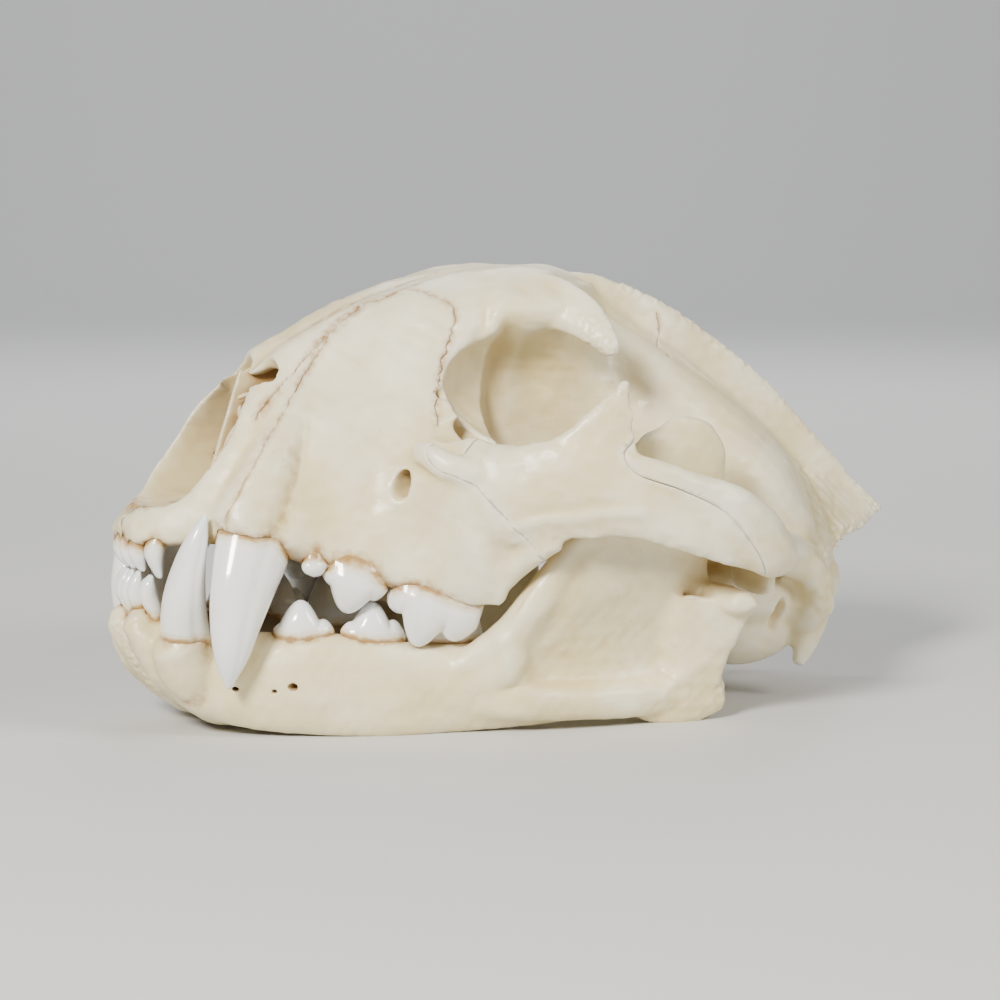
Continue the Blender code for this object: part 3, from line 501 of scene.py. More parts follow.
for side in SIDES:
    pieces += cranium_side(side)
pieces.append(fin("sagittal_crest", [(112, 0, 96), (122, 0, 90), (135, 0, 82), (150, 0, 72), (165, 0, 60),
                                     (178, 0, 48), (186, 0, 38)], [(112, 0, 103.5), (122, 0, 102.2),
                                                                   (135, 0, 97.5), (150, 0, 89.3),
                                                                   (165, 0, 78.6), (178, 0, 67),
                                                                   (204, 0, 41)], 3.4, 1.0, ragged=0.15,
                  seed=2))
skull = fused("skull", pieces, 0)
cutters = [
    body("nasal_cavity", NASAL_CAVITY),
    limb("choanae", [(80, 0, 38), (92, 0, 39), (106, 0, 36), (116, 0, 30)],
         [(8, 7), (8, 8), (8, 6), (6, 3)], square=3),
    limb("foramen_magnum", [(192, 0, 26), (180, 0, 28), (166, 0, 33), (158, 0, 37)],
         [(8, 7), (8, 7), (9, 8), (7, 6)]),
]
for side in SIDES:
    cutters += [
        egg("ear", at_side([(152.5, -38, 20)], side)[0], (2.2, 8, 6.5), (0, 12, 0)),
        limb("fang_room", lower_canine_path(side), LOWER_CANINE_SIZES + 0.7, up=(1, 0, 0)),
        limb("infraorbital", at_side([(47, -37, 56.5), (53, -34.5, 57), (60, -31.5, 59), (70, -33, 62)],
                                     side), [(2.0, 3.4), (1.7, 3.2), (1.7, 3.0), (2.2, 3.0)]),
        limb("nasal_notch", at_side([(25.4, -4.4, 87.2), (29.6, -6.6, 82.2), (33.6, -8.6, 77.4)], side),
             [(4.7, 4.3), (4.7, 4.3), (4.7, 4.3)], up=(0.75, 0, 0.62)),
        egg("jugular_hole", at_side([(162.5, -17.5, 20.5)], side)[0], (2.4, 1.8, 4)),
        egg("oval_hole", at_side([(127, -15.5, 33)], side)[0], (2.2, 1.6, 5)),
        egg("nerve_hole", at_side([(167.5, -9.5, 21)], side)[0], (1.4, 1.2, 3)),
        limb("palate_hole", at_side([(15, -3.6, 40), (15.5, -3.6, 47), (16.5, -3.6, 54)], side),
             [(1.7, 3.6), (1.7, 3.4), (1.6, 3.0)], up=(1, 0, 0)),
        limb("optic_canal", at_side([(98, -20, 60), (108, -15, 57), (118, -10, 55)], side),
             [(2.4, 2.4), (2.2, 2.2), (1.8, 1.8)]),
        limb("orbital_fissure", at_side([(102, -22, 52), (112, -15, 49), (120, -11, 48)], side),
             [(2.8, 2.2), (2.5, 2.0), (2.0, 1.6)]),
        egg("orbit_front", (82.5, 32 * side, 78.4), (16, 15, 11.6), (0, 6, 0)),
        limb("orbit_floor_trough", at_side([(57.5, -33.2, 73.5), (63, -34.5, 70.4), (71, -38, 69.6),
                                            (80, -44, 71)], side), [(1.6, 2.4), (3.0, 3.6), (4.6, 4.2),
                                                                    (6, 4)]),
        limb("floor_notch", at_side([(76, -36, 69), (71.5, -31.5, 69), (67, -26.5, 68.5)], side),
             [(3.0, 5.4), (2.8, 5.0), (2.2, 3.8)], square=4),
        limb("tear_duct", at_side([(71, -31, 80), (66, -26, 76), (60, -20, 72)], side),
             [(1.2, 2.0), (1.0, 1.6), (0.8, 1.0)]),
    ]
cut_with(skull, [fused("cutters", cutters, 1, voxel=0.5)])
skull = fused("skull", [skull], 12, voxel=0.55)
print("fused skull:", len(skull.data.polygons), "faces")

# %% [markdown]
# Now the strokes. A real skull is never smooth where muscles held on: under the cheek the edge is rough,
# the postorbital points are pitted, and fine ridges fan over the temple.

# %% Strokes on the skull
# Each stroke has its path, the brush's radius, how far it moves the skin, and what else push takes.
SKULL_STROKES = {
    "fang root": ([(31.5, -27.6, 46.4), (34.6, -25.9, 53.9), (37.5, -23.8, 62.6), (41.6, -21.2, 71.3)], 4.5,
                  0.7, {}),
    "cheek hollow": ([(52.2, -27.9, 66.9), (49.8, -30.4, 60.4), (47.2, -30.8, 53.8)], 5.0, -0.9, {}),
    "cheek ridge": ([(72.5, -51.4, 48.4), (78.4, -55.9, 49.9), (85.1, -59.8, 50.8), (91, -62.9, 51.5),
                     (97.1, -65.5, 51.9)], 1.6, 0.55, dict(facing=OUTER_SIDE)),
    "cheek groove": ([(74, -51.5, 50.6), (80, -56, 52.4), (87, -60.2, 53.4), (94, -63.2, 54),
                      (100, -65, 54)], 1.4, -0.6, dict(facing=OUTER_SIDE)),
    "rough cheek edge": ([(75, -51, 44), (82, -57, 45.5), (92, -62, 46), (104, -66, 43.5), (116, -67, 40)],
                         3.2, 0.0, dict(facing=(0, -1, -0.6), rough=0.08, rough_size=2.3)),
    "pitted eye point": ([(102.3, -34.5, 91), (104.8, -39, 86)], 4.5, 0.0,
                         dict(rough=0.17, rough_size=1.4)),
    "pitted cheek point": ([(93, -59, 75), (96.3, -59.3, 80.3)], 3.0, 0.0,
                           dict(rough=0.14, rough_size=1.4)),
    "crest crease": ([(120.4, -8, 97), (130.4, -9, 84.6), (142.7, -10, 77), (157, -9, 68), (170, -9, 56)],
                     3.6, -1.7, {}),
    "nape crease": ([(171.8, -18, 48), (167, -26, 38.5), (161, -31, 33)], 3.4, -1.5, {}),
    "rough nape side": ([(184, -14, 36), (172.5, -22.5, 33.8), (166.5, -30, 30.5), (164, -34, 24)], 5.0,
                        0.0, dict(rough=0.3, rough_size=2.6)),
    "rough nape middle": ([(178, -4, 44), (172, -12, 40)], 9.0, 0.0, dict(rough=0.3, rough_size=3.2)),
    "ragged crest edge": ([(128, 0, 100), (140, 0, 95.5), (152, 0, 88), (166, 0, 77.5), (180, 0, 65),
                           (194, 0, 52), (203, 0, 42)], 2.6, 0.0, dict(rough=0.13, rough_size=1.7)),
    "ragged nape edge": ([(203, 0, 42), (196.5, -6.5, 38), (184.5, -14, 36), (172.5, -22.5, 33.8),
                          (166.5, -30, 30.5)], 2.6, 0.0, dict(rough=0.18, rough_size=1.9)),
    "temple dome": ([(133, -22, 74), (142, -27, 64), (150, -30, 54)], 13, 1.7, {}),
    "waist behind the eye": ([(106, -14, 96), (112, -15, 88), (118, -18.5, 79), (122, -21, 68),
                              (122, -21, 56)], 5.0, -1.6, {}),
    "crest foot": ([(122, -6, 95), (131, -7, 87.5), (143, -7.5, 80), (157, -7.5, 71), (168, -8, 61),
                    (172, -12, 52)], 2.8, -1.0, {}),
    "mastoid bump": ([(160, -36.5, 29), (162.4, -37, 26), (164.7, -35.7, 21.3)], 3.2, 0.9, {}),
    "ear groove": ([(156.4, -36, 30), (157.6, -35.6, 24), (157.6, -34, 18)], 2.0, -0.9, {}),
    "temporal line": ([(100, -24, 98), (105, -17, 99.5), (111, -9, 100.5), (118, -3, 100.5)], 1.8, 0.25,
                      {}),
}
for path, radius, depth, more in SKULL_STROKES.values():
    push(skull, path, radius, depth, **more)
for k in range(9):
    low = 34 + 3.5 * k
    push(skull, [(138 - 2.5 * k, -31, low + 8), (150 - 1.5 * k, -32, low + 3)], 0.9, -0.13)
for k in range(7):
    push(skull, [(124 + 6.5 * k, -13, 84 - 5 * k), (127 + 7.5 * k, -23, 72 - 5 * k)], 0.9, -0.12)
co, out = co_of(skull), normals_of(skull)
put_co(skull, co + out * (0.16 * field(co, 14, 11) + 0.06 * field(co, 4, 12))[:, None])
print("skull sculpted")

# %% [markdown]
# ## The lower jaw
#
# Each half is a bar that carries the teeth, a broad plate for the biting muscles, a rolled joint at the
# back and a hooked corner. The two halves meet at the chin in a rough seam.

# %% Both halves of the jaw
def jaw_side(side):
    def s(points):
        return at_side(points, side)
    return [
        limb("body", s([(4, -5, 23.5), (9, -9, 18.5), (16, -13, 14), (25, -19, 12.7), (36, -25, 12),
                        (50, -30, 10.7), (64, -33.5, 10.2), (78, -37.5, 10.8), (92, -40.5, 11.2),
                        (106, -42.5, 10.5), (118, -44, 9)]), [(4, 5), (6.5, 7.5), (6.5, 10.3), (5.6, 11.4),
                                                              (5.4, 11.7), (5.4, 11.2), (5.4, 10.4),
                                                              (5, 10.2), (4.4, 9.8), (3.8, 9.2), (3.4, 8)]),
        limb("symphysis", s([(2.6, -4, 27), (3.6, -5, 21.5), (10, -6, 13.5), (19, -7, 6.5), (26, -8, 5)]),
             [(5, 3.6), (6, 4.6), (7, 5.2), (7, 5), (6, 3)]),
        limb("canine_root", s([(7.5, -14.5, 22), (11, -13.5, 15), (18, -13.5, 9)]),
             [(6, 7), (5.5, 7), (4, 5)], up=(1, 0, 0)),
        limb("ramus", s([(99, -41, 7), (100.5, -43, 16), (104.5, -46, 28), (108, -48, 41),
                         (113.5, -49.5, 55), (117.8, -50, 64), (119.5, -50, 70.5)]),
             [(3.0, 24), (3.2, 27), (3.2, 25.0), (2.8, 18.4), (2.5, 14.4), (2.1, 11.4), (1.4, 5.4)],
             up=(1, 0, 0), square=2.1),
        limb("condyle", s([(125.5, -40, 29), (126, -50, 29), (127, -60.5, 29)]),
             [(3.4, 3.0), (4.4, 3.6), (3.6, 2.6)]),
        limb("neck", s([(125.4, -50, 28), (124.6, -48.6, 22), (122.5, -47, 14), (120, -46, 7)]),
             [(5.2, 4.2), (3.6, 5.4), (2.8, 6.4), (2.6, 6)], up=(1, 0, 0)),
        fin("condyle_flare", s([(117, -46, 7), (113, -46.5, 15), (112, -47, 23), (114, -48, 31)]),
            s([(128, -48, 9), (128.6, -51.5, 16), (129.6, -56.5, 23), (130.4, -61.6, 29)]), 3.0, 2.0,
            flat=(-0.45, 1, 0.1)),
        limb("front_border", s([(62, -34.5, 13), (70, -38.5, 17), (77, -42.3, 24), (83, -45.3, 33.5),
                                (90, -47.6, 43), (98, -49, 52)]), [(2.6, 4), (3.4, 4.2), (3.4, 3.8),
                                                                   (3.0, 3.2), (2.5, 2.6), (1.9, 2.2)]),
        limb("front_fill", s([(67, -36, 10), (72, -39, 13), (77.5, -42, 19), (82, -43.5, 25)]),
             [(3.6, 4.6), (4.0, 5.4), (3.8, 5.2), (3.2, 4)]),
        limb("lower_border", s([(70, -38.5, 8), (80, -42, 7.2), (94, -44.4, 6.6), (108, -45.4, 6.4),
                                (120, -46.2, 7)]), [(2.8, 4.2), (3.4, 4.6), (3.4, 4.6), (3.2, 4.6),
                                                    (2.8, 4.6)]),
        limb("angle", s([(110, -43.5, 6), (120, -45, 5.6), (129, -46.5, 6.6)]),
             [(3, 5.4), (3.8, 6.9), (2.6, 4.6)]),
    ]


jaw = fused("jaw", jaw_side(LEFT) + jaw_side(RIGHT), 16, voxel=0.55)
JAW_STROKES = {
    "muscle hollow": ([(90, -46, 19), (102, -47, 22), (114, -48, 21)], 9.5, -2.6, dict(facing=OUTER_SIDE)),
    "upper hollow": ([(98, -49, 38), (110, -52, 46)], 9, -1.0, dict(facing=OUTER_SIDE)),
    "inside the rim": ([(93, -48, 42), (88.5, -47, 34), (84.5, -46, 26), (82.5, -45.5, 19.5),
                        (87, -45.5, 14.5), (99, -46, 13), (112, -46.5, 13.5)], 3.4, -1.0,
                       dict(facing=OUTER_SIDE)),
    "front rim": ([(91, -48, 44), (86, -47, 36), (80, -46, 28), (76, -45.5, 20), (77.5, -45, 12)], 3.2, 0.8,
                  dict(facing=OUTER_SIDE)),
    "lower rim": ([(72.3, -45.8, 22.4), (75.1, -45.1, 13), (82.9, -44.8, 8.9), (98.2, -45.2, 7.7),
                   (113.1, -46.6, 8), (122.7, -48.3, 14.5)], 2.6, 1.0, dict(facing=OUTER_SIDE)),
    "hollow's grain": ([(86, -47, 20), (104, -46.5, 18), (116, -46.5, 17)], 7, 0.0,
                       dict(facing=OUTER_SIDE, rough=0.07, rough_size=3.1)),
    "rough corner": ([(112, -46, 6), (121, -47, 6), (129, -48, 7)], 5, 0.0,
                     dict(rough=0.13, rough_size=2.6)),
    "rough chin": ([(1, 0, 27), (2.5, 0, 20), (9, 0, 10), (20, 0, 3)], 3.5, 0.0,
                   dict(rough=0.3, rough_size=2.2)),
    "chin seam edge": ([(0, -3, 26), (2, -4, 18), (8, -5, 10), (18, -6, 4)], 2.2, 0.0,
                       dict(rough=0.22, rough_size=1.7)),
}
for path, radius, depth, more in JAW_STROKES.values():
    push(jaw, path, radius, depth, **more)
holes = []
for side in SIDES:
    for path, size in (([(28, -29, 12), (32, -25, 12.4)], 1.3), ([(24.6, -27, 11), (28, -23, 11.5)], 0.7),
                       ([(17.2, -23, 11.4), (20, -18, 12)], 1.0)):
        holes.append(limb("mental", at_side(path, side), [(size, size * 0.8), (size * 0.7, size * 0.6)],
                          around=16))
    holes.append(limb("jaw_canal", at_side([(104, -37, 21), (99, -39, 19.8), (94, -39.6, 18.4)], side),
                      [(2.0, 2.2), (1.5, 1.7), (0.9, 1.1)], around=20))
cut_with(jaw, [joined("holes", holes)])
co, out = co_of(jaw), normals_of(jaw)
put_co(jaw, co + out * (0.14 * field(co, 12, 21) + 0.05 * field(co, 4, 22))[:, None])
print("fused jaw:", len(jaw.data.polygons), "faces")

# %% [markdown]
# ## Teeth
#
# A cat has few kinds of teeth: curved fangs, cheek teeth that are blades with a row of cusps, and small
# pegs in front. A fang is a limb with a furrow down its side. A blade is a ridge whose height follows its
# cusps; the flanks bulge where a cusp is high and a thin collar runs round it above the gum. Each tooth is
# made once more, a little swollen and with a short root, as the cutter of its socket.

# %% Cheek teeth as ridges of cusps
BLADE_RINGS = 57
COLLAR = 1.3              # height of the ridge between its cusps, in mm
BLUNTNESS = 0.85          # below 1 a cusp is fuller than a cosine
# Half a blade's cross section, from the root up: shares of its half width, and of its height or its root.
BLADE_PROFILE = ((-0.55, -1.0), (-0.80, -0.5), (-0.97, -0.12), (-1.07, 0.08), (-1.04, 0.26), (-0.94, 0.48),
                 (-0.72, 0.70), (-0.42, 0.88), (-0.14, 0.98))


def blade(name, front, back, half, cusps, sign, root, grow):
    """A cheek tooth from front to back. Each cusp has its place from -1 to 1, its height and its reach."""
    front, back = np.array(front, float), np.array(back, float)
    along = back - front
    length = np.linalg.norm(along) + 2 * grow
    along = unit(along)
    across = unit(np.cross(along, (0, 0, 1)))
    tip = np.cross(across, along) * sign
    middle = (front + back) / 2
    if middle[1] * across[1] < 0:
        across = -across
    highest = max(height for _, height, _ in cusps)
    rings = []
    for place in -np.cos(np.linspace(0, np.pi, BLADE_RINGS)):
        round_off = max(0.02, 1 - abs(place) ** 2.6) ** 0.5
        heights = [height * np.cos(min(1.0, abs(place - at) / reach) * np.pi / 2) ** BLUNTNESS
                   for at, height, reach in cusps]
        h = COLLAR * round_off + max(heights) + grow
        w = half * round_off * (0.80 + 0.20 * h / highest) + grow
        section = [(k * w, z * (root if z < 0 else h)) for k, z in BLADE_PROFILE]
        section += [(0.0, h)] + [(-y, z) for y, z in section[::-1]]
        at = middle + along * place * length / 2
        rings.append([at + across * y + tip * z for y, z in section])
    return shell(name, rings)


def peg(name, path, sizes, grow=0.0, groove=(), around=36):
    return limb(name, path, np.array(sizes, float) + grow, up=(1, 0, 0), around=around, groove=groove)


ROOT_DEPTH, SOCKET_DEPTH = 5.0, 1.4
UPPER_CANINE = [(30, -19.5, 64), (26, -21, 56), (22.6, -22.5, 45), (18.9, -25, 36), (16.3, -26.5, 27.5),
                (15.1, -26.8, 19.5), (14.6, -26.3, 13)]
UPPER_CANINE_SIZES = [(4, 5), (5.2, 7.4), (5.8, 8.7), (5.2, 7.6), (4.2, 6.0), (2.9, 3.9), (0.6, 0.7)]


def upper_teeth(side, grow=0.0):
    """The upper teeth of one side. With grow they are the short, swollen cutters of their sockets."""
    def s(points):
        return at_side(points, side)
    root = SOCKET_DEPTH if grow else ROOT_DEPTH
    first = 1 if grow else 0
    made = [
        peg("upper_canine", s(UPPER_CANINE)[2 * first:], UPPER_CANINE_SIZES[2 * first:], grow, around=48,
            groove=() if grow else ((0.03, 0.07, 0.025), (0.47, 0.07, 0.025))),
        peg("upper_P2", s([(35.5, -26.5, 44), (35.3, -27.2, 40.4), (35.1, -27.8, 38.8),
                           (35.3, -28, 37.4)])[first:], [(1.4, 1.8), (1.8, 2.8), (1.9, 3.2),
                                                         (1.0, 1.7)][first:], grow),
        blade("upper_P3", *s([(37.5, -27, 38), (51, -32, 34)]), 3.7,
              ((-0.66, 2.0, 0.5), (-0.04, 6.9, 0.78), (0.66, 2.9, 0.42)), -1, root, grow),
        blade("upper_P4", *s([(51.8, -33, 33.7), (70.6, -39.5, 27.5)]), 4.1,
              ((-0.74, 3.9, 0.40), (-0.16, 9.9, 0.62), (0.56, 6.6, 0.62)), -1, root, grow),
        peg("upper_M1", s([(73.5, -32, 36), (73.5, -32.5, 32), (73.5, -32.5, 29.5)])[first:],
            [(3, 2), (3.2, 2.2), (1.5, 1)][first:], grow),
        egg("upper_P4_heel", s([(54.6, -31.2, 31.2)])[0], (3.4 + grow, 3.0 + grow, 3.6 + grow)),
    ]
    for k, (x, y, half, low) in enumerate(((0.8, -1.75, 1.65, 38.0), (1.6, -5.2, 1.8, 37.6),
                                           (4.0, -9.4, 2.4, 36.4))):
        made.append(peg("upper_I%d" % (k + 1),
                        s([(x + 3.2, 0.9 * y, 51), (x + 1.0, y, 46), (x - 0.3, y, 43), (x - 0.3, y, 40.5),
                           (x + 0.7, y, low)])[first:],
                        [(0.7 * half, 1.7), (0.85 * half, 2.0), (half, 2.3), (1.02 * half, 1.9),
                         (0.66 * half, 0.7)][first:], grow))
    return made


def lower_teeth(side, grow=0.0):
    def s(points):
        return at_side(points, side)
    root = SOCKET_DEPTH if grow else ROOT_DEPTH
    first = 1 if grow else 0
    made = [
        peg("lower_canine", lower_canine_path(side)[first:], LOWER_CANINE_SIZES[first:], grow, around=48,
            groove=() if grow else ((0.03, 0.08, 0.03), (0.47, 0.08, 0.03))),
        blade("lower_p3", *s([(27.3, -21.5, 23.6), (40.6, -25.8, 22.8)]), 3.1,
              ((-0.72, 1.7, 0.42), (-0.16, 6.6, 0.74), (0.62, 2.6, 0.42)), 1, root, grow),
        blade("lower_p4", *s([(41.6, -26.5, 22.6), (56, -30, 21.6)]), 3.3,
              ((-0.72, 2.6, 0.42), (-0.08, 7.0, 0.70), (0.62, 3.2, 0.42)), 1, root, grow),
        blade("lower_m1", *s([(56.8, -28.3, 21.3), (74, -32.8, 19.5)]), 3.0,
              ((-0.48, 7.6, 0.6), (0.46, 9.2, 0.62)), 1, root, grow),
    ]
    for k, (x, y, half, top) in enumerate(((0.6, -1.45, 1.4, 37.0), (1.1, -4.3, 1.5, 37.0),
                                           (2.8, -7.6, 1.85, 36.4))):
        made.append(peg("lower_I%d" % (k + 1),
                        s([(x + 2.6, 0.8 * y, 23), (x + 1.2, y, 28.5), (x - 0.1, y, 32), (x - 0.1, y, 34.5),
                           (x + 0.5, y, top)])[first:],
                        [(0.7 * half, 1.5), (0.85 * half, 1.8), (half, 2.1), (1.04 * half, 1.7),
                         (0.66 * half, 0.6)][first:], grow))
    return made


def sockets(teeth):
    """Joins neighbours in two groups, so that no cutter has cutters that touch."""
    return [joined("sockets", teeth[0::2]), joined("sockets", teeth[1::2])]


SOCKET_GAP = 0.16
SKULL_TRIANGLES = 186000
thinned(skull, SKULL_TRIANGLES)
for side in SIDES:
    cut_with(skull, sockets(upper_teeth(side, SOCKET_GAP)))
    cut_with(jaw, sockets(lower_teeth(side, SOCKET_GAP)))
teeth = []
for side, word in ((LEFT, "left"), (RIGHT, "right")):
    for tooth in upper_teeth(side) + lower_teeth(side):
        tooth.name = tooth.name.split(".")[0] + "_" + word
        tooth.data.name = tooth.name
        teeth.append(tooth)
print(len(teeth), "teeth")

# %% [markdown]
# ## Seams
#
# The bones of the case meet in seams. The two round each cheek bone go right through, so the cheek bones
# are pieces of their own. The others are cut as fine grooves: a thin wedge follows a line drawn on the
# skin, snapped to it, with a zigzag where the real bones interlock.

# %% Through cuts round the cheek bones and at the chin
CUT_GAP = 0.3
SMALLEST_BONE = 2000      # faces; anything smaller is a crumb of a cut


def sheet(name, line, into, reach, back=6.0):
    """A plate CUT_GAP thick along a line. It runs from back outside the line to reach inside it, along
    into."""
    pts = smooth_curve(line, 8)
    ahead = np.gradient(pts, axis=0)
    ways = smooth_curve(into, 8) if np.ndim(into) == 2 else np.tile(np.asarray(into, float), (len(pts), 1))
    rings = []
    for p, d, way in zip(pts, ahead, unit(ways)):
        half = unit(np.cross(d, way)) * CUT_GAP / 2
        rings.append([p - way * back + half, p + way * reach + half, p + way * reach - half,
                      p - way * back - half])
    return shell(name, rings)


CHEEK_SEAM = [(50, -37, 74), (54, -40, 68.5), (57, -42, 63), (61, -46, 59), (66, -49, 54.5), (73, -52, 48),
              (78, -53, 41.5), (82, -54, 36)]
CHEEK_WAYS = [(6, 3, 10), (6, 3, 10), (6, 4, 10), (6, 5, 10), (7, 6, 10), (10, 7, 10), (16, 8, 6),
              (16, 8, 4)]
TEMPLE_SEAM = [(99.5, -64, 71), (97, -64, 67.5), (94.4, -64, 64.5), (97, -66, 60.4), (106, -68, 56.9),
               (116, -68.5, 51.9), (123.3, -67, 44.6), (128.4, -65, 37.5), (130, -64, 33)]
for side in SIDES:
    cut_with(skull, [sheet("cheek_seam", at_side(CHEEK_SEAM, side), at_side(CHEEK_WAYS, side), 21),
                     sheet("temple_seam", at_side(TEMPLE_SEAM, side), at_side((0, 1, 0), side), 10)])


def block(name, low, high):
    low, high = (np.array(low, float) - ORIGIN) * MM, (np.array(high, float) - ORIGIN) * MM
    bpy.ops.mesh.primitive_cube_add(size=1)
    made = bpy.context.object
    made.name = name
    made.data.transform(Matrix.Diagonal((*(high - low), 1)))
    made.data.transform(Matrix.Translation(Vector((low + high) / 2)))
    return made


cut_with(jaw, [block("chin_seam", (-10, -CUT_GAP / 2, -10), (60, CUT_GAP / 2, 60)),
               block("table", (-20, -80, -10), (160, 80, 0))])
bones = {}
for thing, names in ((skull, (("cranium", 0, 12), ("jugal_left", -60, 20), ("jugal_right", 60, 20))),
                     (jaw, (("mandible_left", -30, 28), ("mandible_right", 30, 28)))):
    found = islands(thing)
    for name, y, reach in names:
        for one in found:
            beside = abs(co_of(one)[:, 1].mean() - y)
            if one.name not in bones and beside < reach and len(one.data.polygons) > SMALLEST_BONE:
                one.name = name
                one.data.name = name
                bones[name] = one
                break
    for one in found:
        if one not in bones.values():
            bpy.data.objects.remove(one)
print({name: len(one.data.polygons) for name, one in bones.items()})

# %% Grooved seams drawn on the skin
def tree_of(thing):
    return BVHTree.FromPolygons([tuple(p) for p in co_of(thing)],
                                [tuple(p.vertices) for p in thing.data.polygons])


def on_skin(tree, points):
    """The nearest points of a skin, and the way out of it there, evened along the line."""
    found = [tree.find_nearest(Vector(p)) for p in points]
    at = np.array([f[0] for f in found])
    out = np.array([f[1] for f in found])
    pad = np.vstack([out[:1]] * 4 + [out] + [out[-1:]] * 4)
    return at, unit(sum(pad[k:k + len(out)] for k in range(9)))


def seam(tree, line, wide=0.22, depth=0.8, jag=0.0, seed=1, step=0.45):
    """A thin wedge that follows a line on the skin. jag is how far it zigzags to each side."""
    curve = smooth_curve(line, 16)
    length = np.linalg.norm(np.diff(curve, axis=0), axis=1).sum()
    count = max(6, int(length / step))
    drawn = evenly(curve, count)
    ahead = np.gradient(drawn, axis=0)
    at, out = on_skin(tree, drawn)
    rng = np.random.default_rng(seed)
    across = unit(np.cross(ahead, out))
    wave = np.convolve(rng.normal(size=count + 4), np.ones(5) / 5, "valid") * 0.35
    if jag:
        knots = np.cumsum(rng.integers(2, 6, size=count))
        zigzag = [(-1) ** k * rng.uniform(0.2, 1.0) for k in range(count)]
        wave = wave + jag * np.interp(np.arange(count), knots, zigzag)
    at, out = on_skin(tree, at + across * wave[:, None])
    across = unit(np.cross(ahead, out))
    ends = np.clip(np.minimum(np.arange(count), np.arange(count)[::-1]) / 4, 0.25, 1)
    rings = []
    for p, n, side, end in zip(at, out, across, ends):
        w = wide * end * rng.uniform(0.7, 1.3)
        rings.append([p + n * 0.5 + side * w, p - n * depth * end + side * 0.05,
                      p - n * depth * end - side * 0.05, p + n * 0.5 - side * w])
    return shell("seam", rings)


SEAMS = {
    "premaxilla": ([(14.5, -25, 47.1), (15.3, -25.6, 51.5), (19.6, -24.8, 58.6), (25, -22.4, 66),
                    (31.3, -18.4, 73.5), (36.8, -15.3, 79.8), (42, -13.2, 85.6), (48, -10.2, 92.1)], 0.18,
                   0.8, 0.0),
    "nasal": ([(48, -10.2, 92.1), (50.5, -9.4, 93.6), (57.4, -8, 96.8), (62.6, -8.6, 98),
               (66.1, -8.2, 99.1), (70, -7, 100)], 0.40, 1.1, 0.10),
    "nasal_front": ([(25.5, -15.8, 71.5), (30, -15.6, 77), (36, -14.6, 83), (42, -12.2, 88),
                     (48, -10.2, 92.1)], 0.30, 1.0, 0.06),
    "maxilla_frontal": ([(66.1, -8.2, 99.1), (68.4, -13, 99.3), (70.8, -17.6, 97.6), (72.4, -20.6, 96.3),
                         (72.2, -22.7, 93.2), (70.2, -24.1, 88.8), (68.1, -24.9, 84.8), (66.6, -26.4, 79.9),
                         (65, -27.8, 75.5), (63.3, -31.8, 70.2)], 0.17, 0.7, 0.5),
    "lacrimal": ([(66.6, -26.4, 79.9), (70, -27.5, 79), (74, -27, 77), (76, -27, 72)], 0.14, 0.5, 0.2),
    "crack": ([(136.9, -1.8, 92.5), (137, -3.1, 88.4), (134.5, -9, 85.5), (132, -15.9, 82)], 0.10, 0.5,
              0.12),
    "palate": ([(36, -0.4, 46), (38, -10, 44), (40, -20, 42.5)], 0.12, 0.5, 0.35),
    "palatine": ([(58, -1, 45), (60, -14, 42.5), (68, -18, 41), (78, -17, 40)], 0.12, 0.5, 0.3),
    "nuchal": ([(170, -6, 40), (166, -18, 33), (164, -28, 26)], 0.12, 0.5, 0.3),
}
MIDDLE_SEAMS = {
    "between_nasals": ([(34.2, 0, 82), (45.5, 0, 90.7), (55.6, 0, 96.5), (62.5, 0, 99.2), (70, 0, 101.2)],
                       0.26, 1.0, 0.0),
    "between_frontals": ([(70, 0, 101.2), (84, 0, 103.5), (98, 0, 105)], 0.10, 0.5, 0.25),
    "between_palates": ([(12, 0, 43), (30, 0, 46.5), (50, 0, 45.5), (76, 0, 42)], 0.12, 0.6, 0.15),
    "between_premaxillae": ([(-1, 0, 47), (1, 0, 50.5), (6, 0, 52.5)], 0.16, 0.8, 0.0),
}
tree = tree_of(bones["cranium"])
wedges, drawn = [], []
for k, (line, wide, depth, jag) in enumerate(SEAMS.values()):
    for side in SIDES:
        wedges.append(seam(tree, at_side(line, side), wide, depth, jag, seed=10 * k + side + 1))
        drawn.append((at_side(line, side), wide))
for k, (line, wide, depth, jag) in enumerate(MIDDLE_SEAMS.values()):
    wedges.append(seam(tree, line, wide, depth, jag, seed=90 + k))
    drawn.append((np.array(line, float), wide))
cut_with(bones["cranium"], wedges)
print(len(drawn), "seams; cranium now", len(bones["cranium"].data.polygons), "faces")

# %% [markdown]
# ## Inside the nose
#
# Thin scrolls of bone fill the nose behind its rim, on both sides of a middle wall. They are rolled sheets:
# a spiral drawn once in cross section and drawn out along the nose, a little smaller towards its ends.

# %% Scrolls and middle wall
def scroll(centre, radius, turns, x_from, x_to, side, start):
    rings = []
    for t in np.linspace(0, 1, 15):
        x = x_from + (x_to - x_from) * t
        size = radius * (0.62 + 0.38 * np.sin(np.pi * min(1.0, t * 1.3 + 0.12)))
        angle = start + np.linspace(0, turns * 2 * np.pi, 40) + 0.5 * t
        reach = size * np.linspace(1.0, 0.22, 40)
        inner = np.stack([np.cos(angle) * (reach - 0.35), np.sin(angle) * (reach - 0.35)], axis=1)
        outer = np.stack([np.cos(angle) * (reach + 0.35), np.sin(angle) * (reach + 0.35)], axis=1)
        outline = np.vstack([outer, inner[::-1]])
        y = (centre[0] + outline[:, 0]) * -side
        z = centre[1] + outline[:, 1] + 9 * t
        rings.append(np.stack([np.full(len(y), x), y, z], axis=1))
    return shell("scroll", rings)


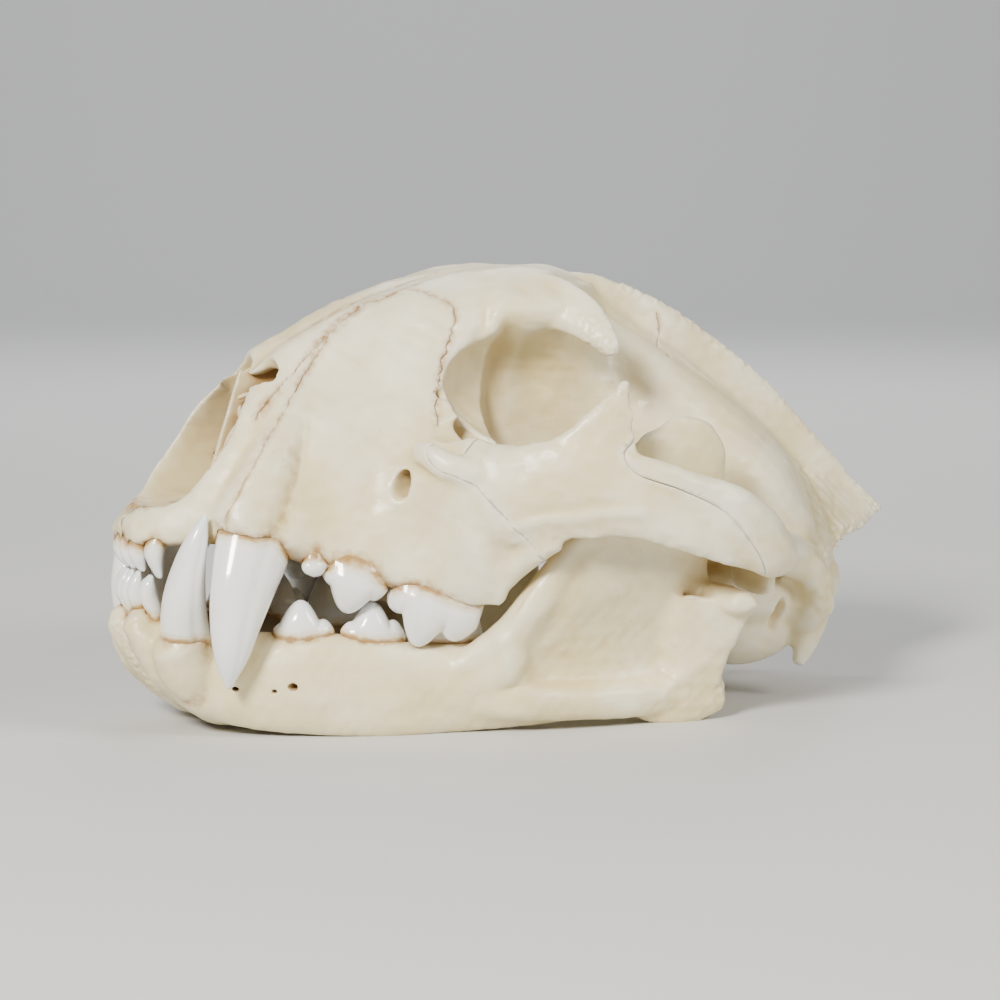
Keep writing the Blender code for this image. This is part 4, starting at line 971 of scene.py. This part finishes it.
inside = [fin("middle_wall", [(18, 0, 51), (34, 0, 52), (56, 0, 55)],
              [(28.6, 1.5, 81.5), (42, 0.5, 84.5), (56, 0, 86)], 0.7, 0.5, ragged=0.3, seed=6)]
for side in SIDES:
    inside += [
        limb("fold", at_side([(23.2, 0.9, 60), (25, 1.8, 66), (28.4, 2.6, 71),
                              (31, 2.0, 76.5)], side), [(0.6, 0.7), (0.8, 1.0), (0.9, 1.0), (0.5, 0.7)]),
        limb("curl", at_side([(27.2, 1.5, 75.4), (29.4, 2.4, 76.0), (31, 2.6, 73.6),
                              (29.6, 2.6, 71), (27.4, 2.2, 71.6), (27.6, 1.8, 73.6)], side),
             [(0.5, 0.6), (0.7, 0.8), (0.8, 0.9), (0.8, 0.9), (0.7, 0.8), (0.5, 0.6)]),
        limb("curl", at_side([(22.6, 1.5, 57.4), (26, 2.8, 59.4), (29, 3.0, 63.4),
                              (27, 2.6, 66.4), (24.4, 1.8, 64)], side),
             [(0.5, 0.7), (0.8, 1.0), (0.9, 1.0), (0.8, 0.9), (0.5, 0.6)]),
    ]
for side in SIDES:
    inside += [scroll((-6.6, 60.5), 4.9, 1.3, 25, 56, side, 2.6),
               scroll((-5.9, 69.8), 3.9, 1.2, 28, 56, side, 3.4),
               scroll((-4.0, 54.8), 2.6, 1.0, 25, 52, side, 1.2)]
bones["nose_scrolls"] = fused("nose_scrolls", inside, 1, voxel=0.4)
print("nose scrolls:", len(bones["nose_scrolls"].data.polygons), "faces")

# %% [markdown]
# ## Painted shade and stains
#
# Where a point is closed in, inside the nose and the ears, shade is painted, with amber stain in it. Seams
# and
# gums hold real stain, where a brush can't reach. Each point of the bones gets numbers that the materials
# read:
# how closed in it is, how near a seam or a gum it lies, how much of an edge or a crease it is, and how far it
# faces into the mouth, where dark shade is painted.

# %% Closed-in, stained, edge, crease and mouth values for each point, for painted shade and stains
def spread(thing, values, passes):
    edges = np.empty(len(thing.data.edges) * 2, np.int32)
    thing.data.edges.foreach_get("vertices", edges)
    a, b = edges.reshape(-1, 2).T
    degree = np.maximum(1, np.bincount(np.concatenate([a, b]), minlength=len(values)))
    for _ in range(passes):
        total = np.bincount(a, values[b], len(values)) + np.bincount(b, values[a], len(values))
        values = 0.5 * values + 0.5 * total / degree
    return values


def put_values(thing, name, values):
    layer = thing.data.attributes.new(name, "FLOAT", "POINT")
    layer.data.foreach_set("value", np.clip(values, 0, 1).astype(np.float32))


def ray_ways(count):
    k = np.arange(count) + 0.5
    height = 1 - 2 * k / count
    turn = np.pi * (1 + 5 ** 0.5) * k
    flat = np.sqrt(1 - height ** 2)
    return np.stack([np.cos(turn) * flat, np.sin(turn) * flat, height], axis=1)


everything = joined("everything", [o.copy() for o in (*bones.values(), *teeth)])
all_tree = tree_of(everything)
tooth_tree = tree_of(joined("all_teeth", [o.copy() for o in teeth]))
WAYS = ray_ways(20)
RAY_REACH = 45.0
for bone in bones.values():
    co, out = co_of(bone), normals_of(bone)
    # Share of rays from each point that hit bone or tooth: how closed in it is. The bone material paints this
    # as shade with amber stain.
    closed = np.zeros(len(co))
    reach_of = all_tree.ray_cast
    for i, (p, n) in enumerate(zip(co, out)):
        start = Vector(p + n * 0.25)
        ways = WAYS[WAYS @ n > 0.12]
        hits = sum(reach_of(start, Vector(way), RAY_REACH)[0] is not None for way in ways)
        closed[i] = hits / max(1, len(ways))
    closed = spread(bone, closed, 3)
    stain = np.zeros(len(co))
    for line, wide in drawn:
        path = smooth_curve(line, 3)
        stain = np.maximum(stain, near(co, path, 0.8 + 2.0 * wide) * (0.5 + 1.6 * wide))
    gum = np.array([found if found is not None else 9.0
                    for found in (tooth_tree.find_nearest(Vector(p), 3.0)[3] for p in co)])
    stain = np.maximum(stain, np.exp(-(gum / 0.9) ** 2))
    lifted = np.stack([spread(bone, co[:, k], 6) for k in range(3)], axis=1)
    edge = np.einsum("ij,ij->i", co - lifted, out)
    # Inner faces of the palate and the jaw inside the mouth: painted dark shade.
    inner = -out[:, 2] if bone.name.startswith("cranium") else -out[:, 1] * np.sign(co[:, 1])
    mouth = np.clip((inner - 0.15) / 0.35, 0, 1) * np.clip((46 - co[:, 2]) / 5, 0,
                                                           1) * (np.abs(co[:, 1]) < 36)
    mouth = mouth * np.clip((co[:, 0] - 8) / 8, 0, 1) * np.clip((104 - co[:, 0]) / 24, 0, 1)
    put_values(bone, "mouth", spread(bone, mouth, 4))
    # The nose scrolls get a higher closed value, so more painted shade and amber stain.
    put_values(bone, "closed", closed + (0.35 if bone.name.startswith("nose") else 0.0))
    put_values(bone, "stain", spread(bone, stain, 1))
    put_values(bone, "edge", spread(bone, np.clip(edge * 4, 0, 1), 2))
    # Hollows and creases: painted shade, read by the bone material.
    put_values(bone, "pit", spread(bone, np.clip(-edge * 5, 0, 1), 2))
    print(bone.name, "closed", closed.mean().round(2), "stain", stain.mean().round(3))
bones_tree = tree_of(joined("all_bones", [o.copy() for o in bones.values()]))
for o in [o for o in bpy.data.objects if o.name.startswith(("everything", "all_teeth", "all_bones"))]:
    bpy.data.objects.remove(o)

for tooth in teeth:
    co = co_of(tooth)
    away = np.array([bones_tree.find_nearest(Vector(p))[3] for p in co])
    put_values(tooth, "gum", (away - 0.1) / 4)
    upper = tooth.name.startswith("upper")
    tip = co[:, 2].min() if upper else co[:, 2].max()
    gum_line = {"upper_canine": 44, "lower_canine": 24, "upper_I": 44.5, "lower_I": 30}
    at = next((z for start, z in gum_line.items() if tooth.name.startswith(start)), None)
    if at is None:
        at = tip + (7 if upper else -7)
    put_values(tooth, "crown", (co[:, 2] - at) / (tip - at))

# %% [markdown]
# ## Materials
#
# Bone is warm cream, paler on its edges and ridges, with painted shade and amber stain where it is closed in,
# painted shade in creases and inside the mouth, ochre stain in seams, and a fine grain and pores. Enamel is
# glassy and whiter, and turns ochre at the gum. The shared parts are node groups.

# %% Node helpers and groups
def group(name):
    """A node group that gives a colour, a roughness and a height."""
    made = bpy.data.node_groups.new(name, "ShaderNodeTree")
    for label, kind in (("Color", "NodeSocketColor"), ("Roughness", "NodeSocketFloat"),
                        ("Height", "NodeSocketFloat")):
        made.interface.new_socket(label, in_out="OUTPUT", socket_type=kind)
    return made, made.nodes.new("NodeGroupOutput")


def node(tree, kind, **values):
    made = tree.nodes.new(kind)
    for key, value in values.items():
        if key in made.inputs:
            made.inputs[key].default_value = value
        else:
            setattr(made, key, value)
    return made


def noise(tree, where, scale, detail=4.0, stretch=(1, 1, 1)):
    """A noise value over object coordinates, with an optional stretch."""
    mapping = node(tree, "ShaderNodeMapping")
    mapping.inputs["Scale"].default_value = stretch
    tree.links.new(where, mapping.inputs["Vector"])
    made = node(tree, "ShaderNodeTexNoise", Scale=scale, Detail=detail)
    tree.links.new(mapping.outputs["Vector"], made.inputs["Vector"])
    return made.outputs["Fac"]


def ramp(tree, value, low, high, to_low=0.0, to_high=1.0):
    made = node(tree, "ShaderNodeMapRange")
    for label, given in (("From Min", low), ("From Max", high), ("To Min", to_low), ("To Max", to_high)):
        made.inputs[label].default_value = given
    tree.links.new(value, made.inputs["Value"])
    return made.outputs["Result"]


def mix(tree, factor, a, b):
    """A colour between a and b, each a socket or a fixed colour."""
    made = node(tree, "ShaderNodeMix", data_type="RGBA")
    if isinstance(factor, float):
        made.inputs["Factor"].default_value = factor
    else:
        tree.links.new(factor, made.inputs["Factor"])
    for socket, value in ((made.inputs[6], a), (made.inputs[7], b)):
        if isinstance(value, tuple):
            socket.default_value = (*value, 1)
        else:
            tree.links.new(value, socket)
    return made.outputs[2]


def maths(tree, operation, a, b):
    made = node(tree, "ShaderNodeMath", operation=operation)
    for socket, value in zip(made.inputs, (a, b)):
        if isinstance(value, (int, float)):
            socket.default_value = value
        else:
            tree.links.new(value, socket)
    return made.outputs[0]


def times(tree, a, b):
    return maths(tree, "MULTIPLY", a, b)


def attribute(tree, name):
    return node(tree, "ShaderNodeAttribute", attribute_name=name).outputs["Fac"]


CREAM, PALE = (0.77, 0.66, 0.35), (0.87, 0.80, 0.55)
TAN, OCHRE, BROWN = (0.62, 0.47, 0.22), (0.38, 0.20, 0.05), (0.10, 0.045, 0.015)

bone_tree, bone_out = group("bone_look")
where = node(bone_tree, "ShaderNodeTexCoord").outputs["Object"]
patches = ramp(bone_tree, noise(bone_tree, where, 34, 5), 0.42, 0.60)
clouds = ramp(bone_tree, noise(bone_tree, where, 110, 6), 0.42, 0.70)
colour = mix(bone_tree, patches, CREAM, PALE)
colour = mix(bone_tree, times(bone_tree, clouds, 0.36), colour, TAN)
colour = mix(bone_tree, times(bone_tree, attribute(bone_tree, "edge"), 0.6), colour, (0.88, 0.84, 0.75))
# Painted shade in creases and hollows.
pit = times(bone_tree, attribute(bone_tree, "pit"), 0.55)
colour = mix(bone_tree, pit, colour, TAN)
# Painted shade, with amber stain, where a point is closed in; the most closed-in points get a darker ochre.
hollow_shade_and_stain = ramp(bone_tree, attribute(bone_tree, "closed"), 0.32, 0.88)
colour = mix(bone_tree, times(bone_tree, hollow_shade_and_stain, 0.74), colour, (0.54, 0.40, 0.20))
deep_hollow_shade_and_stain = ramp(bone_tree, attribute(bone_tree, "closed"), 0.80, 1.0)
colour = mix(bone_tree, times(bone_tree, deep_hollow_shade_and_stain, 0.75), colour, OCHRE)
# Painted dark shade inside the mouth.
colour = mix(bone_tree, times(bone_tree, attribute(bone_tree, "mouth"), 0.78), colour, (0.13, 0.060, 0.025))
blotch = ramp(bone_tree, noise(bone_tree, where, 420, 3), 0.35, 0.60, 0.35, 1.0)
stained = times(bone_tree, attribute(bone_tree, "stain"), blotch)
colour = mix(bone_tree, ramp(bone_tree, stained, 0.12, 0.85, 0.0, 0.85), colour, OCHRE)
colour = mix(bone_tree, ramp(bone_tree, stained, 0.70, 1.0, 0.0, 0.6), colour, BROWN)
pores = node(bone_tree, "ShaderNodeTexVoronoi", Scale=620.0)
bone_tree.links.new(where, pores.inputs["Vector"])
pore = ramp(bone_tree, pores.outputs["Distance"], 0.02, 0.16, 1.0, 0.0)
patchy = ramp(bone_tree, noise(bone_tree, where, 70, 3), 0.52, 0.66)
pore = times(bone_tree, pore, patchy)
colour = mix(bone_tree, times(bone_tree, pore, 0.5), colour, TAN)
bone_tree.links.new(colour, bone_out.inputs["Color"])
bone_tree.links.new(ramp(bone_tree, clouds, 0.0, 1.0, 0.34, 0.52), bone_out.inputs["Roughness"])
grain = times(bone_tree, noise(bone_tree, where, 520, 6), 0.5)
streaks = times(bone_tree, noise(bone_tree, where, 260, 5, (0.35, 1.0, 1.5)), 0.9)
height = maths(bone_tree, "ADD", grain, streaks)
height = maths(bone_tree, "SUBTRACT", height, times(bone_tree, pore, 0.8))
bone_tree.links.new(height, bone_out.inputs["Height"])

enamel_tree, enamel_out = group("enamel_look")
where = node(enamel_tree, "ShaderNodeTexCoord").outputs["Object"]
crown = attribute(enamel_tree, "crown")
wavy = maths(enamel_tree, "ADD", crown, ramp(enamel_tree, noise(enamel_tree, where, 260, 4), 0.3, 0.7,
                                             -0.10, 0.10))
rim = maths(enamel_tree, "ADD", attribute(enamel_tree, "gum"),
            ramp(enamel_tree, noise(enamel_tree, where, 380, 4), 0.3, 0.7, -0.09, 0.09))
colour = mix(enamel_tree, ramp(enamel_tree, rim, 0.08, 0.26), (0.40, 0.23, 0.07), (0.74, 0.62, 0.40))
colour = mix(enamel_tree, ramp(enamel_tree, rim, 0.20, 0.55), colour, (0.88, 0.87, 0.82))
colour = mix(enamel_tree, ramp(enamel_tree, wavy, 0.45, 1.0), colour, (0.83, 0.86, 0.88))
lines = ramp(enamel_tree, noise(enamel_tree, where, 300, 5, (1.0, 1.0, 0.12)), 0.52, 0.72)
colour = mix(enamel_tree, times(enamel_tree, lines, 0.12), colour, (0.60, 0.50, 0.34))
enamel_tree.links.new(colour, enamel_out.inputs["Color"])
enamel_tree.links.new(ramp(enamel_tree, rim, 0.1, 0.5, 0.42, 0.17), enamel_out.inputs["Roughness"])
enamel_tree.links.new(noise(enamel_tree, where, 240, 4, (1.0, 1.0, 0.2)), enamel_out.inputs["Height"])


# %% Materials from the groups
def material(name, look, bump, coat):
    made = bpy.data.materials.new(name)
    made.use_nodes = True
    tree = made.node_tree
    surface = tree.nodes["Principled BSDF"]
    shared = node(tree, "ShaderNodeGroup")
    shared.node_tree = look
    relief = node(tree, "ShaderNodeBump", Strength=bump, Distance=0.0004)
    tree.links.new(shared.outputs["Height"], relief.inputs["Height"])
    tree.links.new(shared.outputs["Color"], surface.inputs["Base Color"])
    tree.links.new(shared.outputs["Roughness"], surface.inputs["Roughness"])
    tree.links.new(relief.outputs["Normal"], surface.inputs["Normal"])
    surface.inputs["Coat Weight"].default_value = coat
    surface.inputs["Coat Roughness"].default_value = 0.08
    return made


bone_material = material("bone_surface", bone_tree, 0.45, 0.08)
enamel_material = material("enamel_surface", enamel_tree, 0.12, 0.9)
for thing, finish in [(o, bone_material) for o in bones.values()] + [(o, enamel_material) for o in teeth]:
    thing.data.materials.clear()
    thing.data.materials.append(finish)
    thing.data.shade_smooth()
    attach(thing, "root")
for name, thing in bones.items():
    thing.name = "bone_" + name
    if name in frame["nodes"]:
        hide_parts(name)

# %% [markdown]
# ## Studio
#
# A pale floor that sweeps up behind, a soft light from the upper left and a weaker one from the upper
# right. The camera stands where the photographer stood: low, a little in front of the left side, with a
# long lens.

# %% Floor, lights and camera
bpy.ops.object.select_all(action="DESELECT")
bpy.ops.mesh.primitive_plane_add(size=6, location=(0, 0, 0))
floor = bpy.context.object
floor.name = "floor"
bpy.ops.object.mode_set(mode="EDIT")
bpy.ops.mesh.select_all(action="DESELECT")
bpy.ops.object.mode_set(mode="OBJECT")
for edge in floor.data.edges:
    edge.select = all(floor.data.vertices[v].co.y > 0 for v in edge.vertices)
bpy.context.tool_settings.mesh_select_mode = (False, True, False)
bpy.ops.object.mode_set(mode="EDIT")
bpy.ops.mesh.extrude_region_move(TRANSFORM_OT_translate={"value": (0, 0, 3)})
bpy.ops.object.mode_set(mode="OBJECT")
for edge in floor.data.edges:
    a, b = (floor.data.vertices[v].co for v in edge.vertices)
    edge.select = a.y > 0 and b.y > 0 and a.z < 0.1 and b.z < 0.1
bpy.ops.object.mode_set(mode="EDIT")
bpy.ops.mesh.bevel(offset=1.2, segments=16)
bpy.ops.transform.rotate(value=np.radians(26.3), orient_axis="Z", center_override=(0, 0, 0))
bpy.ops.object.mode_set(mode="OBJECT")
floor.data.shade_smooth()
pale = bpy.data.materials.new("floor_paint")
pale.use_nodes = True
pale.node_tree.nodes["Principled BSDF"].inputs["Base Color"].default_value = (0.62, 0.62, 0.61, 1)
pale.node_tree.nodes["Principled BSDF"].inputs["Roughness"].default_value = 0.7
floor.data.materials.append(pale)
floor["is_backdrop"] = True


def area_light(name, place, target, size, power, colour):
    light = bpy.data.lights.new(name, "AREA")
    light.size = size
    light.energy = power
    light.color = colour
    holder = bpy.data.objects.new(name, light)
    bpy.context.scene.collection.objects.link(holder)
    holder.location = place
    holder.rotation_mode = "QUATERNION"
    holder.rotation_quaternion = (Vector(target) - Vector(place)).to_track_quat("-Z", "Y")


area_light("key", (-0.76, -0.60, 0.60), (0, 0, 0.05), 0.24, 21, (1.0, 0.97, 0.92))
area_light("fill", (0.58, -0.92, 0.72), (0, 0, 0.05), 0.5, 11, (1.0, 0.98, 0.95))
area_light("rim", (0.5, 0.9, 0.8), (0, 0, 0.05), 0.6, 4, (1.0, 0.98, 0.96))
area_light("backdrop", (0.3, 0.9, 1.7), (1.1, 2.3, 0.5), 1.2, 34, (0.96, 0.97, 1.0))
world = bpy.data.worlds.new("studio")
bpy.context.scene.world = world
world.use_nodes = True
world.node_tree.nodes["Background"].inputs["Color"].default_value = (0.80, 0.84, 0.90, 1)
world.node_tree.nodes["Background"].inputs["Strength"].default_value = 0.16

lens = bpy.data.cameras.new("camera")
lens.lens = 108
lens.sensor_width = 36
lens.clip_start, lens.clip_end = 0.05, 30
camera = bpy.data.objects.new("camera", lens)
bpy.context.scene.collection.objects.link(camera)
turn = Matrix(((0.8967, -0.4426, 0.0), (0.0492, 0.0996, 0.9938), (-0.4399, -0.8912, 0.1111))).transposed()
camera.matrix_world = Matrix.Translation((-0.3238, -0.6436, 0.1286)) @ turn.to_4x4()
bpy.context.scene.camera = camera

# %% Sizes
low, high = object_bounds()
print("shown box in mm:", [round(v * 1000, 1) for v in (*low, *high)])
